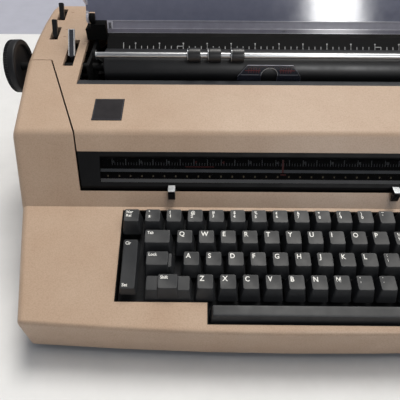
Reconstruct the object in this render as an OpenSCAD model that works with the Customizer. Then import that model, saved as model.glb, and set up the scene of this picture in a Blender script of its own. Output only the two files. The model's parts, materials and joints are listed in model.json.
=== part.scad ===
// Electric single-element office typewriter with a wide carriage.
// X runs to the right, Y to the rear, Z up. The origin is on the table, under the middle of the body.

/* [Body] */
// Width of the body across its rear half
body_w = 528; // [522:1:534]
// How much narrower the body is at each side at the crease behind the keys
crease_taper = 14; // [12:0.5:16]
// How much narrower the body is at each side at the front face
front_taper = 30; // [27:0.5:33]
// How much narrower it is at each side at the rear
rear_taper = 5; // [3:0.5:7]
// How far the middle of the front face stands out past its ends
front_bow = 7; // [4:0.5:9]
// Y of the front face
front_y = -195; // [-197:1:-193]
// Y of the rear face
rear_y = 195; // [193:1:199]
// Height of the keyboard deck at its front edge
deck_front_z = 50; // [48:0.5:52]
// Y of the crease between the deck and the steep front panel
crease_y = -87.5; // [-89:0.5:-86]
// Height of that crease
crease_z = 82.4; // [81:0.2:83]
// Y of the ridge above the steep panel
ridge_y = -45; // [-47:0.5:-43]
// Height of the ridge
ridge_z = 137; // [136:0.5:139]
// Y of the bend in the top surface, where the cover starts at the sides
bend_y = 52; // [51:0.5:54]
// Height of the bend
bend_z = 152.5; // [152:0.5:153]
// Radius of the long curve from the top down to the rear face
rear_r = 48.6; // [46:0.2:50]
// Height of the top where that curve starts
rear_top_z = 165; // [164.5:0.5:166]
// Y of the cover hinge axis
hinge_y = 176; // [175:0.5:177]
// Height of the cover hinge axis
hinge_z = 141; // [140:0.5:142]
// Thickness of the side, front and rear walls
side_wall = 3; // [2.5:0.1:3.4]
// Vertical thickness of the deck and the top
top_wall = 4; // [3.4:0.1:4.4]
// Radius of the long top edges
edge_r = 7; // [5.5:0.5:8]
// Radius of the front corners and the front edge
front_r = 3.5; // [3.5:0.5:6]
// Radius of the rear corners in plan
corner_r = 12; // [9:0.5:14]
// Reach of the rounding at the ridge, each way
ridge_blend = 4; // [3:0.5:8]
// Height of the rubber feet
foot_h = 8; // [7:0.5:10]
// Diameter of the rubber feet
foot_d = 32; // [24:1:40]
// Inset of the feet from the sides of the base
foot_inset = 40; // [30:1:60]
// Thickness of the base pan
pan_t = 2; // [1.5:0.1:3]

/* [Top cover] */
// Distance from the side of the body to the seam at the bottom of the window
seam_front_in = 70; // [67:0.5:73]
// Distance from the side of the body to the seam at the ridge
seam_ridge_in = 65.5; // [63:0.5:68]
// Distance from the side of the body to the seam at the bend
seam_rear_in = 24.8; // [22:0.2:27]
// Width of the open seam beside the tongue
seam_gap = 1.5; // [1:0.1:2]
// Gap along the other joints of the cover
joint_gap = 0.8; // [0.6:0.1:1.2]
// Y of the bottom edge of the margin window
window_bottom_y = -75.5; // [-76.5:0.5:-75]
// Y of the top edge of the margin window
window_top_y = -56; // [-58:0.2:-55.6]
// Slot under the window for the margin levers, along Y
margin_slot = 2.8; // [2.7:0.1:3.4]
// Height of the joint along the sides
split_z = 112; // [108:1:116]
// Distance of the cover's side joint from the hinge axis
side_arc_r = 114; // [113:0.5:115]
// Distance of the rear joint from the hinge axis
rear_arc_r = 16; // [15:0.5:18]
// Width of the band at each end of the window
window_end = 19; // [16:1:24]
// Width of the band above and below the pane, along Y
window_band = 2.4; // [1.6:0.2:3.2]
// Thickness of the window pane
pane_t = 1.5; // [1:0.1:2]
// Width of the badge plate
badge_w = 28; // [24:0.5:34]
// Depth of the badge plate
badge_d = 27.5; // [20:0.5:28]
// Distance from the side of the body to the middle of the badge plate
badge_in = 94.4; // [88:0.2:110]
// Y of the middle of the badge plate
badge_y = -18; // [-20:0.5:-12]
// Thickness of the badge plate
badge_t = 0.8; // [0.5:0.1:1.2]

/* [Platen opening] */
// Distance from the side of the body to the opening over the platen
open_in = 58; // [57:0.5:60]
// Y of its front edge
open_front_y = 16.5; // [15.5:0.5:17.5]
// Y of its rear edge
open_rear_y = 94; // [92:0.5:95]
// Width of the black trim along its front edge
trim_w = 11.5; // [9:0.5:12]

/* [Platen] */
// Y of the platen axis
platen_y = 52.5; // [52:0.5:53]
// Height of the platen axis
platen_z = 145; // [144.6:0.2:145.2]
// Radius of the rubber platen
platen_r = 18; // [17:0.5:18.4]
// Gap from the side plates to the ends of the platen
platen_gap = 14; // [13:0.5:18]
// Radius of the steel shafts through the machine
shaft_r = 4; // [3.5:0.1:4.2]
// Radial running clearance of shafts and pins
run_clear = 0.05; // [0.02:0.01:0.1]
// Radius of the platen knobs
knob_r = 26.5; // [25:0.5:28]
// Thickness of the platen knobs
knob_t = 11; // [9:0.5:14]
// Gap between the body and a knob
knob_gap = 4; // [3:0.5:6]
// Radius of the feed rollers
feed_r = 7; // [5:0.5:8]

/* [Paper bail] */
// Y of the bail rod
rod_y = 38.4; // [38:0.2:39]
// Height of the bail rod
rod_z = 166; // [165.8:0.2:168]
// Radius of the bail rod
rod_r = 2.8; // [2.4:0.1:3.2]
// Radius of the rollers on the rod
roller_r = 7; // [6:0.2:7.4]
// Width of the rollers
roller_w = 13; // [11:0.5:14.5]
// X of the three rollers on the rod
roller_x = [-90, -70, -47.3]; // [-180:0.5:180]
// Distance from the side plates to the middle of the bail arms
bail_arm_in = 8; // [7:0.5:9]
// Thickness of the bail arms
bail_arm_t = 3.4; // [2.5:0.1:4]
// Y of the bail pivots
bail_pivot_y = 76; // [75.5:0.5:77]
// Height of the bail pivots
bail_pivot_z = 138; // [137.5:0.5:139]

/* [Sound hood] */
// Y of the hood hinge
hood_y = 93; // [92:0.5:94]
// Height of the hood hinge
hood_z = 178; // [177:0.5:180]
// Distance from the sides of the opening to the sides of the hood
hood_in = 2; // [0:0.5:4]
// Length of the hood from its hinge
hood_len = 86; // [76:1:92]
// Thickness of the hood
hood_t = 2.5; // [2:0.1:3]
// Depth of its side flanges
hood_flange = 14; // [10:0.5:15]
// Lean of the open hood behind the vertical
hood_lean = 25; // [20:1:30]
// Height of the clear guard bar below the hood
guard_h = 14; // [12:0.5:15]

/* [Keyboard] */
// Spacing of the keys in a row
key_pitch = 19.05; // [19.05:0.05:19.2]
// Step from row to row along Y
row_step = 18.9; // [18.8:0.1:19.2]
// Drop from row to row
row_drop = 5.8; // [5.4:0.1:6.2]
// Y of the middle of the rear row of keys
key_y = -102; // [-103:0.2:-101.4]
// Height of the tops of the rear row
key_z = 88; // [87:0.5:90]
// X of the margin release key, the first key of the rear row
first_x = -144.2; // [-145:0.2:-143]
// Width of a key top
key_top_w = 13.2; // [12:0.1:13.8]
// Depth of a key top
key_top_d = 12.4; // [11.6:0.1:12.6]
// Width of a key at its skirt
key_base_w = 17.4; // [16:0.1:17.8]
// Lean of a key's front face
key_front_lean = 4.2; // [3:0.1:4.3]
// Lean of a key's rear face
key_rear_lean = 1.5; // [0.6:0.1:1.6]
// Height of a key from its skirt to its top
key_h = 14; // [12:0.5:15]
// Travel of the keys
key_travel = 4; // [3:0.1:4.5]
// Radius of the key stems
stem_r = 2.5; // [2:0.1:3]
// Radial gap round the key stems
stem_gap = 0.35; // [0.3:0.05:0.6]
// Depth of the key plate below the key tops
plate_drop = 22; // [21:0.5:24]
// Thickness of the key plate
plate_t = 3; // [2:0.2:4]
// Thickness of the black liner of the key well
liner_t = 1; // [0.8:0.1:1.2]
// Length of the space bar
space_w = 170; // [160:1:173]
// X of the middle of the space bar
space_x = 13; // [11:0.5:15]
// Y of the middle of the space bar's top
space_y = -179.4; // [-180:0.2:-179]
// Height of the space bar's top
space_z = 60.5; // [60:0.5:62]

/* [Mechanism] */
// Distance from the sides of the opening to the frame's side plates
plate_in = 10; // [9:0.5:10.5]
// Thickness of the side plates
frame_t = 3; // [2.5:0.1:3.5]
// Y of the print shaft
print_y = 12; // [11:0.5:13]
// Height of the print shaft
print_z = 105; // [104:0.5:106]
// Radius of the print shaft
print_r = 5; // [4.5:0.1:5.5]
// X of the carrier at rest
carrier_x = -14.3; // [-20:0.1:-8]
// Half width of the carrier
carrier_half = 32; // [28:0.5:34]
// Radius of the type ball
ball_r = 16; // [14:0.5:16.4]
// Radius of the motor
motor_r = 30; // [26:0.5:32]
// X of the left margin stop
margin_left_x = -109; // [-120:1:-60]
// X of the right margin stop
margin_right_x = 96; // [60:1:120]

/* [Hidden] */
$fn = 48;

tan_paint = [0.79, 0.69, 0.60];
black_plastic = [0.10, 0.10, 0.11];
key_black = [0.16, 0.16, 0.17];
steel = [0.72, 0.73, 0.75];
dark_steel = [0.35, 0.36, 0.38];

crease_w = body_w - 2 * crease_taper;
front_w = body_w - 2 * front_taper;
tongue_front_x = body_w / 2 - seam_front_in;
tongue_rear_x = body_w / 2 - seam_rear_in;
open_x = body_w / 2 - open_in;
plate_x = open_x - plate_in;
platen_len = 2 * (plate_x - platen_gap);
bail_arm_x = plate_x - bail_arm_in;
hood_x = open_x - hood_in;
eps = 0.01;
base_z = foot_h + pan_t;
deck_slope = (crease_z - deck_front_z) / (crease_y - front_y);
curve_y = rear_y - rear_r;
curve_z = rear_top_z - rear_r;
far = 400;
window_rear_y = window_top_y;
slot_rear_y = window_bottom_y;
slot_front_y = window_bottom_y - margin_slot;

// ---- Surfaces of the body ----

side_y = [90, 120]; // the sides are parallel up to the first, then curve in past the second
function half_w(y) = lookup(y, [[front_y, front_w / 2], [crease_y, crease_w / 2],
    [bend_y, body_w / 2], [side_y[0], body_w / 2], [side_y[1], body_w / 2 - rear_taper * 0.35],
    [curve_y, body_w / 2 - rear_taper]]);
function top_z(y) = lookup(y, [[front_y, deck_front_z], [crease_y, crease_z],
    [ridge_y, ridge_z], [bend_y, bend_z], [curve_y, rear_top_z]]);
// How far the bowed front sets back a point of the section at y that lies x from the middle
function bow(x, y) = y > crease_y ? 0
    : front_bow * pow(2 * x / front_w, 2) * pow((crease_y - y) / (crease_y - front_y), 2);

// A section of the body is [y, z of the top, half width]. i insets the walls, v the top.
function front_sections(i, v) = [for (a = [0:18:90]) let (r = front_r - i,
    y = front_y + i + r * (1 - cos(a)))
    [y, top_z(y) - v - r * (1 - sin(a)), half_w(y) - i - r * (1 - sin(a))]];
function ridge_sections(i, v) = let (y0 = ridge_y - ridge_blend * 0.6, y1 = ridge_y + ridge_blend)
    [for (s = [0:0.25:1]) let (y = (1 - s) * (1 - s) * y0 + 2 * s * (1 - s) * ridge_y + s * s * y1,
    z = (1 - s) * (1 - s) * top_z(y0) + 2 * s * (1 - s) * ridge_z + s * s * top_z(y1))
    [y, z - v, half_w(y) - i]];
function rear_sections(i) = [for (b = [0:15:90]) let (r = rear_r - i)
    [curve_y + r * sin(b), curve_z + r * cos(b), half_w(rear_y) - i - (corner_r - i) * (1 - cos(b))]];
function sections(i, v) = concat(front_sections(i, v),
    [[crease_y, crease_z - v, half_w(crease_y) - i]], ridge_sections(i, v),
    [for (y = [bend_y, side_y[0], side_y[1]]) [y, top_z(y) - v, half_w(y) - i]], rear_sections(i));

// Points along the top of one section from right to left, as [x, y, z]
bow_steps = 6; // straight pieces the bow of the front is drawn in
function section_top(s, r) = [for (p = concat(
    [for (a = [0:18:90]) [s[2] - r * (1 - cos(a)), s[1] - r * (1 - sin(a))]],
    [for (k = [1:bow_steps - 1]) [(s[2] - r) * (1 - 2 * k / bow_steps), s[1]]],
    [for (a = [90:-18:0]) [-s[2] + r * (1 - cos(a)), s[1] - r * (1 - sin(a))]]))
    let (set = bow(p[0], s[0])) [p[0], s[0] + set, p[1] + set * deck_slope]];

module body_loft(i, v, low) {
    tops = [for (s = sections(i, v)) section_top(s, edge_r - i)];
    n = len(tops[0]);
    m = len(tops);
    d = n * m; // the points of the underside follow those of the top
    points = concat([for (row = tops) for (p = row) p], [for (row = tops) for (p = row) [p[0], p[1], low]]);
    top = [for (k = [0:m - 2]) for (j = [0:n - 2])
        [k * n + j, k * n + j + 1, (k + 1) * n + j + 1, (k + 1) * n + j]];
    low_face = [for (f = top) [f[3] + d, f[2] + d, f[1] + d, f[0] + d]];
    right = [for (k = [0:m - 2]) [k * n, (k + 1) * n, (k + 1) * n + d, k * n + d]];
    left = [for (f = right) [f[3] + n - 1, f[2] + n - 1, f[1] + n - 1, f[0] + n - 1]];
    front = [for (j = [0:n - 2]) [j + d, j + 1 + d, j + 1, j]];
    rear = [for (j = [0:n - 2]) let (k = (m - 1) * n + j) [k, k + 1, k + 1 + d, k + d]];
    polyhedron(points, concat(top, low_face, right, left, front, rear), convexity = 6);
}
module body_shell() {
    difference() {
        body_loft(0, 0, base_z);
        body_loft(side_wall, top_wall, base_z - 1);
    }
}
// Space inside the shell, for pieces that seat on its inner face
module body_inside() { body_loft(side_wall, top_wall, base_z); }

// ---- Helpers ----

// Extrudes a (Y, Z) outline from x0 to x1
module along_x(x0, x1) {
    translate([x0, 0, 0]) rotate([90, 0, 90]) linear_extrude(x1 - x0) children();
}
module rod_x(x0, x1, r, y, z) {
    translate([x0, y, z]) rotate([0, 90, 0]) cylinder(h = x1 - x0, r = r);
}
module block(x0, x1, y0, y1, z0, z1) {
    translate([x0, y0, z0]) cube([x1 - x0, y1 - y0, z1 - z0]);
}

// ---- The joint between the case and the top cover ----

// Plan of the cover's tongue, drawn in by g at its sides
function tongue_x(y) = lookup(y, [[window_bottom_y, tongue_front_x],
    [ridge_y, body_w / 2 - seam_ridge_in], [bend_y, tongue_rear_x]]);
module tongue_plan(g, y_front, y_rear) {
    ys = concat([y_front], y_rear > ridge_y ? [ridge_y] : [], [y_rear]);
    polygon(concat([for (y = ys) [tongue_x(y) - g, y]],
        [for (k = [len(ys) - 1:-1:0]) [g - tongue_x(ys[k]), ys[k]]]));
}
// Side outline of what belongs to the cover behind the bend
joint_lip = 1.5;
module cover_side(g) {
    translate([bend_y + g, bend_z - joint_lip]) square([hinge_y - bend_y, far]);
    intersection() {
        translate([hinge_y, hinge_z]) circle(r = side_arc_r - g, $fn = 180);
        translate([0, split_z + g]) square([hinge_y, far]);
    }
    translate([hinge_y, hinge_z]) circle(r = rear_arc_r - g, $fn = 96);
}
module cover_zone(side_g, joint_g, y_front) {
    linear_extrude(far) tongue_plan(side_g, y_front, bend_y + 2 * joint_gap);
    block(-tongue_rear_x + side_g, tongue_rear_x - side_g, bend_y, hinge_y, base_z, far);
    along_x(-far, far) cover_side(joint_g);
}
module opening_cut() {
    block(-open_x, open_x, open_front_y, open_rear_y, 100, far);
}
// Slots for the levers: [x, front y, rear y, width]
release_slot = [-open_x - 13.8, 43.5, 87, 10.4];
space_slot = [-open_x - 38, 87.5, 110.5, 8.8];
copy_slot = [-open_x - 37.6, 124, 146, 8.8];
module lever_slot(s) {
    block(s[0] - s[3] / 2, s[0] + s[3] / 2, s[1], s[2], 120, far);
}

// ---- Casing ----

right_column = first_x + 15.575 * key_pitch;
well_side = 10.2;
well_left = first_x - well_side;
well_right = right_column + well_side + 0.3;
well_rear = key_y + 11.5;
well_front = key_y - 3 * row_step - 12.3;
space_front = space_y - 8.6;
space_half = space_w / 2 + 4;
module well_plan(g) {
    polygon([[well_left + g, well_rear - g], [well_right - g, well_rear - g],
        [well_right - g, well_front + g], [space_x + space_half - g, well_front + g],
        [space_x + space_half - g, space_front + g], [space_x - space_half + g, space_front + g],
        [space_x - space_half + g, well_front + g], [well_left + g, well_front + g]]);
}
shaft_hole_gap = 1;
shaft_hole_r = shaft_r + shaft_hole_gap;

module lower_case() {
    color(tan_paint) difference() {
        body_shell();
        cover_zone(0, 0, slot_front_y);
        translate([0, 0, base_z]) linear_extrude(far) well_plan(0);
        rod_x(-far, far, shaft_hole_r, platen_y, platen_z);
        block(inlet_x - inlet_w / 2, inlet_x + inlet_w / 2, rear_y - 10, rear_y + 10,
            inlet_z - inlet_h / 2, inlet_z + inlet_h / 2);
    }
}
pan_lip = 1;
module base_pan() {
    outline = [for (s = sections(pan_lip, 0)) [s[2], s[0] + bow(s[2], s[0])]];
    front_x = outline[0][0];
    front_line = [for (k = [1:bow_steps - 1]) let (x = front_x * (2 * k / bow_steps - 1))
        [x, front_y + pan_lip + bow(x, front_y)]];
    color(dark_steel) translate([0, 0, foot_h]) linear_extrude(pan_t) polygon(concat(front_line,
        outline, [for (k = [len(outline) - 1:-1:0]) [-outline[k][0], outline[k][1]]]));
}
module rubber_feet() {
    foot_x = front_w / 2 - foot_inset;
    color(black_plastic) for (x = [-foot_x, foot_x], y = [front_y + foot_inset, rear_y - foot_inset])
        translate([x, y, 0]) cylinder(h = foot_h, d = foot_d);
}
inlet_in = 110;
inlet_x = body_w / 2 - inlet_in;
inlet_z = 45;
inlet_w = 30;
inlet_h = 22;
inlet_pins = 3;
module power_inlet() {
    color(black_plastic) difference() {
        block(inlet_x - inlet_w / 2, inlet_x + inlet_w / 2, rear_y - 24, rear_y,
            inlet_z - inlet_h / 2, inlet_z + inlet_h / 2);
        block(inlet_x - inlet_w / 2 + 3, inlet_x + inlet_w / 2 - 3, rear_y - 20, rear_y + 1,
            inlet_z - inlet_h / 2 + 3, inlet_z + inlet_h / 2 - 3);
    }
    color(steel) for (k = [-1:1]) block(inlet_x + 7 * k - 1, inlet_x + 7 * k + 1,
        rear_y - 20, rear_y - 5, inlet_z - inlet_pins, inlet_z + inlet_pins);
}

// ---- Top cover ----

module top_cover() {
    color(tan_paint) difference() {
        intersection() {
            body_shell();
            cover_zone(seam_gap, joint_gap, window_rear_y);
        }
        opening_cut();
        rod_x(-far, far, shaft_hole_r, platen_y, platen_z);
        for (s = [release_slot, space_slot, copy_slot]) lever_slot(s);
    }
}
pane_x = tongue_front_x - window_end;
pane_front_y = slot_rear_y + window_band;
pane_rear_y = window_rear_y - window_band;
module window_bezel() {
    color(black_plastic) intersection() {
        body_shell();
        difference() {
            linear_extrude(far) tongue_plan(seam_gap, slot_rear_y, window_rear_y);
            block(-pane_x, pane_x, pane_front_y, pane_rear_y, 0, far);
        }
    }
}
pane_sink = 1.2;
module margin_window() {
    color([0.1, 0.1, 0.12, 0.6]) along_x(-pane_x, pane_x) polygon([
        [pane_front_y, top_z(pane_front_y) - pane_sink], [pane_rear_y, top_z(pane_rear_y) - pane_sink],
        [pane_rear_y, top_z(pane_rear_y) - pane_sink - pane_t * 1.6],
        [pane_front_y, top_z(pane_front_y) - pane_sink - pane_t * 1.6]]);
}
trim_drop = 5;
module opening_trim() {
    y1 = open_front_y + trim_w;
    z0 = top_z(open_front_y);
    color(black_plastic) along_x(-open_x, open_x) polygon([[open_front_y, z0], [y1 - 3, z0 - 0.6],
        [y1, z0 - 3], [y1, z0 - trim_drop], [open_front_y, z0 - top_wall]]);
}
badge_x = badge_in - body_w / 2;
badge_tilt = atan((bend_z - ridge_z) / (bend_y - ridge_y));
module name_plate() {
    color(black_plastic) translate([badge_x, badge_y, top_z(badge_y)]) rotate([badge_tilt, 0, 0])
        translate([-badge_w / 2, -badge_d / 2, 0]) cube([badge_w, badge_d, badge_t]);
}
lug_in = 46;
lug_x = plate_x - lug_in;
lug_w = 6;
lug_r = 5.5;
pin_r = 3;
module cover_hinge_lugs() {
    color(steel) for (m = [0, 1]) mirror([m, 0, 0]) difference() {
        union() {
            rod_x(lug_x, lug_x + lug_w, lug_r, hinge_y, hinge_z);
            intersection() {
                block(lug_x, lug_x + lug_w, hinge_y - lug_r, hinge_y + lug_r, hinge_z, far);
                body_inside();
            }
        }
        rod_x(lug_x - 1, lug_x + lug_w + 1, pin_r + run_clear, hinge_y, hinge_z);
    }
}
post_gap = 1;
post_w = 6;
post_y = hinge_y - 34;
module cover_hinge_posts() {
    x0 = lug_x + lug_w + post_gap;
    color(steel) for (m = [0, 1]) mirror([m, 0, 0]) {
        rod_x(x0, x0 + post_w, lug_r, hinge_y, hinge_z);
        rod_x(lug_x - 2, x0 + 1, pin_r, hinge_y, hinge_z);
        block(x0, x0 + post_w, post_y, hinge_y, hinge_z - 5, hinge_z + 5);
        block(x0, x0 + post_w, post_y, post_y + 10, base_z, hinge_z);
    }
}

// ---- Sound hood ----

bracket_w = 19.5;
bracket_in = hood_x - bracket_w;
bracket_out = hood_x + 2.5;
ear_r = 5;
hood_start = 6;
hood_pin_r = 2.5;
bracket_front = hood_y - 6;
bracket_rear = hood_y + 8;
bracket_top = hood_z - 4;
flange_in = hood_x - hood_t;
module hood_brackets() {
    color(black_plastic) for (m = [0, 1]) mirror([m, 0, 0]) {
        intersection() {
            union() {
                block(bracket_in, flange_in - 1, bracket_front, bracket_rear, bend_z - 2, bracket_top);
                block(flange_in - 2, bracket_out, bracket_front, bracket_rear, bend_z - 2, hood_z - 9);
            }
            body_above();
        }
        rod_x(flange_in - 6, flange_in - 1, ear_r, hood_y, hood_z);
        rod_x(flange_in - 6, hood_x + 0.5, hood_pin_r, hood_y, hood_z);
    }
}
// Space above the top surface near the hood hinge
module body_above() {
    along_x(-far, far) polygon([[open_front_y, top_z(open_front_y)], [bend_y, bend_z],
        [curve_y, rear_top_z], [curve_y, far], [open_front_y, far]]);
}
// Places children in the hood's plane: their Y runs up the hood, their Z towards the keyboard
module hood_place() {
    translate([0, hood_y, hood_z]) rotate([90 - hood_lean, 0, 0]) children();
}
module sound_hood() {
    color([0.35, 0.36, 0.42, 0.5]) hood_place() {
        block(-hood_x, hood_x, hood_start, hood_len, -hood_t / 2, hood_t / 2);
        for (m = [0, 1]) mirror([m, 0, 0]) {
            along_x(flange_in, hood_x) polygon([[hood_start + 6, 0], [hood_start + 12, hood_flange],
                [hood_len - 6, hood_flange], [hood_len, 0]]);
            difference() {
                union() {
                    rod_x(flange_in, hood_x, ear_r, 0, 0);
                    block(flange_in, hood_x, 0, hood_start + 1, -hood_t, hood_t);
                }
                rod_x(flange_in - 1, hood_x + 1, hood_pin_r + run_clear, 0, 0);
            }
        }
    }
}
guard_x = bracket_in - 1.5;
guard_t = 3;
module guard_bar() {
    color([0.7, 0.72, 0.75, 0.5]) hood_place() {
        block(-guard_x, guard_x, -guard_h, 2, -guard_t / 2, guard_t / 2);
        block(-guard_x, guard_x, 2, hood_start, -0.6, 0.6);
    }
}

// ---- Platen, feed and bail ----

knob_in = body_w / 2 + knob_gap;
shaft_end = knob_in + knob_t - 2;
module platen() {
    color(black_plastic) difference() {
        rod_x(-platen_len / 2, platen_len / 2, platen_r, platen_y, platen_z);
        rod_x(-platen_len, platen_len, shaft_r, platen_y, platen_z);
    }
}
module platen_shaft() {
    color(steel) rod_x(-shaft_end, shaft_end, shaft_r, platen_y, platen_z);
}
flutes = 36;
flute_r = 1.1;
module knob(x0) {
    color(black_plastic) difference() {
        rod_x(x0, x0 + knob_t, knob_r, platen_y, platen_z);
        rod_x(x0 - 1, x0 + knob_t + 1, shaft_r, platen_y, platen_z);
        rod_x(x0 - 1, x0 + 3, knob_r - 5, platen_y, platen_z);
        for (k = [0:flutes - 1]) rod_x(x0 - 1, x0 + knob_t + 1, flute_r,
            platen_y + knob_r * cos(k * 360 / flutes), platen_z + knob_r * sin(k * 360 / flutes));
    }
}
module knob_right() { knob(knob_in); }
module knob_left() { mirror([1, 0, 0]) knob(knob_in); }

feed_gap = 0.3;
feed_shaft_r = 3;
feed_z = platen_z - platen_r - feed_gap - feed_r;
feed_x = [-120, -40, 40, 120];
feed_w = 40;
module feed_rollers() {
    color(black_plastic) for (x = feed_x) rod_x(x - feed_w / 2, x + feed_w / 2, feed_r, platen_y, feed_z);
    color(steel) rod_x(-plate_x - frame_t, plate_x + frame_t, feed_shaft_r, platen_y, feed_z);
}
deflector_gap = 1.5;
deflector_t = 1;
deflector_half = platen_len / 2;
deflector_foot = 8;
module deflector_wedge(a0, a1) {
    along_x(-deflector_half, deflector_half) polygon([[platen_y, platen_z],
        [platen_y + 60 * cos(a0), platen_z + 60 * sin(a0)],
        [platen_y + 60 * cos((a0 + a1) / 2), platen_z + 60 * sin((a0 + a1) / 2)],
        [platen_y + 60 * cos(a1), platen_z + 60 * sin(a1)]]);
}
// Curved trough behind the platen that turns the paper round it
module paper_deflector() {
    r0 = platen_r + deflector_gap;
    color(dark_steel) {
        intersection() {
            difference() {
                rod_x(-deflector_half, deflector_half, r0 + deflector_t, platen_y, platen_z);
                rod_x(-far, far, r0, platen_y, platen_z);
            }
            deflector_wedge(-55, 8);
        }
        for (m = [0, 1]) mirror([m, 0, 0]) block(deflector_half - 4, plate_x,
            platen_y + r0 * cos(50) - 1.5, platen_y + r0 * cos(50) + deflector_foot,
            platen_z - r0 * sin(50) - 5, platen_z - r0 * sin(50));
    }
}
bail_pin_r = 2.5;
bail_hub_r = 6;
// A straight bar from p to q in the (Y, Z) plane, with its half width at each end
module bar(p, q, hp, hq) {
    u = (q - p) / norm(q - p);
    n = [-u[1], u[0]];
    polygon([p + n * hp, p - n * hp, q - n * hq, q + n * hq]);
}
bail_pivot = [bail_pivot_y, bail_pivot_z];
rod_point = [rod_y, rod_z];
module bail_arm() {
    along_x(bail_arm_x - bail_arm_t / 2, bail_arm_x + bail_arm_t / 2) difference() {
        union() {
            translate(bail_pivot) circle(r = bail_hub_r);
            translate(rod_point) circle(r = rod_r + 2.2);
            bar(bail_pivot, rod_point, 4.2, 3.2);
        }
        translate(bail_pivot) circle(r = bail_pin_r + run_clear);
    }
}
module paper_bail() {
    color(dark_steel) for (m = [0, 1]) mirror([m, 0, 0]) bail_arm();
    color(steel) rod_x(-bail_arm_x + bail_arm_t / 2, bail_arm_x - bail_arm_t / 2, rod_r, rod_y, rod_z);
}
module bail_roller(x) {
    color(black_plastic) difference() {
        rod_x(x - roller_w / 2, x + roller_w / 2, roller_r, rod_y, rod_z);
        rod_x(x - roller_w, x + roller_w, rod_r + run_clear, rod_y, rod_z);
    }
}
module bail_roller_left() { bail_roller(roller_x[0]); }
module bail_roller_middle() { bail_roller(roller_x[1]); }
module bail_roller_right() { bail_roller(roller_x[2]); }

scale_bottom = [70, 153.6];
scale_rise = [12, 10];
scale_t = 2.5;
module paper_scale() {
    y0 = scale_bottom[0];
    z0 = scale_bottom[1];
    color(black_plastic) {
        along_x(-bail_arm_x + 5, bail_arm_x - 5) polygon([[y0, z0], [y0 + scale_rise[0], z0 + scale_rise[1]],
            [y0 + scale_rise[0] + 2, z0 + scale_rise[1] - scale_t], [y0 + 2, z0 - scale_t]]);
        for (m = [0, 1]) mirror([m, 0, 0]) {
            block(bail_arm_x - 9, bail_arm_x - 5, y0 + 9, y0 + 14, platen_z - 15, z0 + 6);
            block(bail_arm_x - 9, plate_x, y0 + 14, y0 + 20, platen_z - 15, platen_z - 8);
        }
    }
}

// ---- Frame and drive ----

frame_front = -40;
frame_rear = 142;
plate_top_y0 = platen_y - 15;
plate_top_y1 = bail_pivot_y + 16;
plate_top_z = platen_z + 10;
module side_plate() {
    difference() {
        along_x(plate_x, plate_x + frame_t) polygon([[frame_front, base_z], [frame_rear, base_z],
            [frame_rear, copy_pivot[1] + 8], [plate_top_y1 + 4, bail_pivot_z + 2],
            [plate_top_y1, plate_top_z], [plate_top_y0, plate_top_z], [plate_top_y0 - 3, platen_z - 9],
            [print_y - 32, print_z + 15], [frame_front, print_z - 5]]);
        rod_x(0, far, shaft_r + run_clear, platen_y, platen_z);
        rod_x(0, far, print_r + run_clear, print_y, print_z);
        rod_x(0, far, feed_shaft_r + run_clear, platen_y, feed_z);
    }
}
// Lever pivots: [y, z] of each, on pins that stand out from the left side plate
release_pivot = [68, 125];
space_pivot = [95.5, 120];
copy_pivot = [128.5, 118];
lever_pin_r = 2.5;
lever_pin_end = 6;
bar_rear_y = 118;
bar_front_y = -36;
module power_frame() {
    color(steel) {
        for (m = [0, 1]) mirror([m, 0, 0]) side_plate();
        block(-plate_x, plate_x, bar_rear_y, bar_rear_y + 20, base_z + 10, base_z + 20);
        block(-plate_x, plate_x, bar_front_y, bar_front_y + 6, base_z + 36, base_z + 52);
        for (m = [0, 1]) mirror([m, 0, 0])
            rod_x(bail_arm_x - bail_arm_t, plate_x, bail_pin_r, bail_pivot_y, bail_pivot_z);
        rod_x(release_slot[0] - lever_pin_end, -plate_x - frame_t, lever_pin_r, release_pivot[0], release_pivot[1]);
        rod_x(space_slot[0] - lever_pin_end, -plate_x - frame_t, lever_pin_r, space_pivot[0], space_pivot[1]);
        rod_x(copy_slot[0] - lever_pin_end, -plate_x - frame_t, lever_pin_r, copy_pivot[0], copy_pivot[1]);
    }
}
rail_y = print_y - 34;
rail_z = print_z - 5;
rail_half_y = 4;
rail_half_z = 3;
module guide_rail() {
    color(steel) block(-plate_x, plate_x, rail_y - rail_half_y, rail_y + rail_half_y,
        rail_z - rail_half_z, rail_z + rail_half_z);
}
module print_shaft() {
    color(steel) rod_x(-plate_x - frame_t - 2, plate_x + frame_t + 14, print_r, print_y, print_z);
}
motor_gap = 1.5;
motor_len = 42;
module motor() {
    x0 = plate_x + frame_t + motor_gap;
    color(dark_steel) difference() {
        union() {
            rod_x(x0, x0 + motor_len, motor_r, print_y, print_z);
            block(x0 + 6, x0 + motor_len - 6, print_y - 12, print_y + 12, base_z, print_z - motor_r + 4);
        }
        rod_x(x0 - 1, plate_x + frame_t + 16, print_r + run_clear, print_y, print_z);
    }
}
rail_slack = 0.4;
ball_y = print_y - 2.5;
ball_z = print_z + 17;
ball_post_r = 3;
bed_low = print_z - 11;
bed_top = print_z + 7;
bed_front = rail_y - 10;
arm_x = carrier_half - 4;
arm_t = 4;
holder_y = 20;
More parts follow.
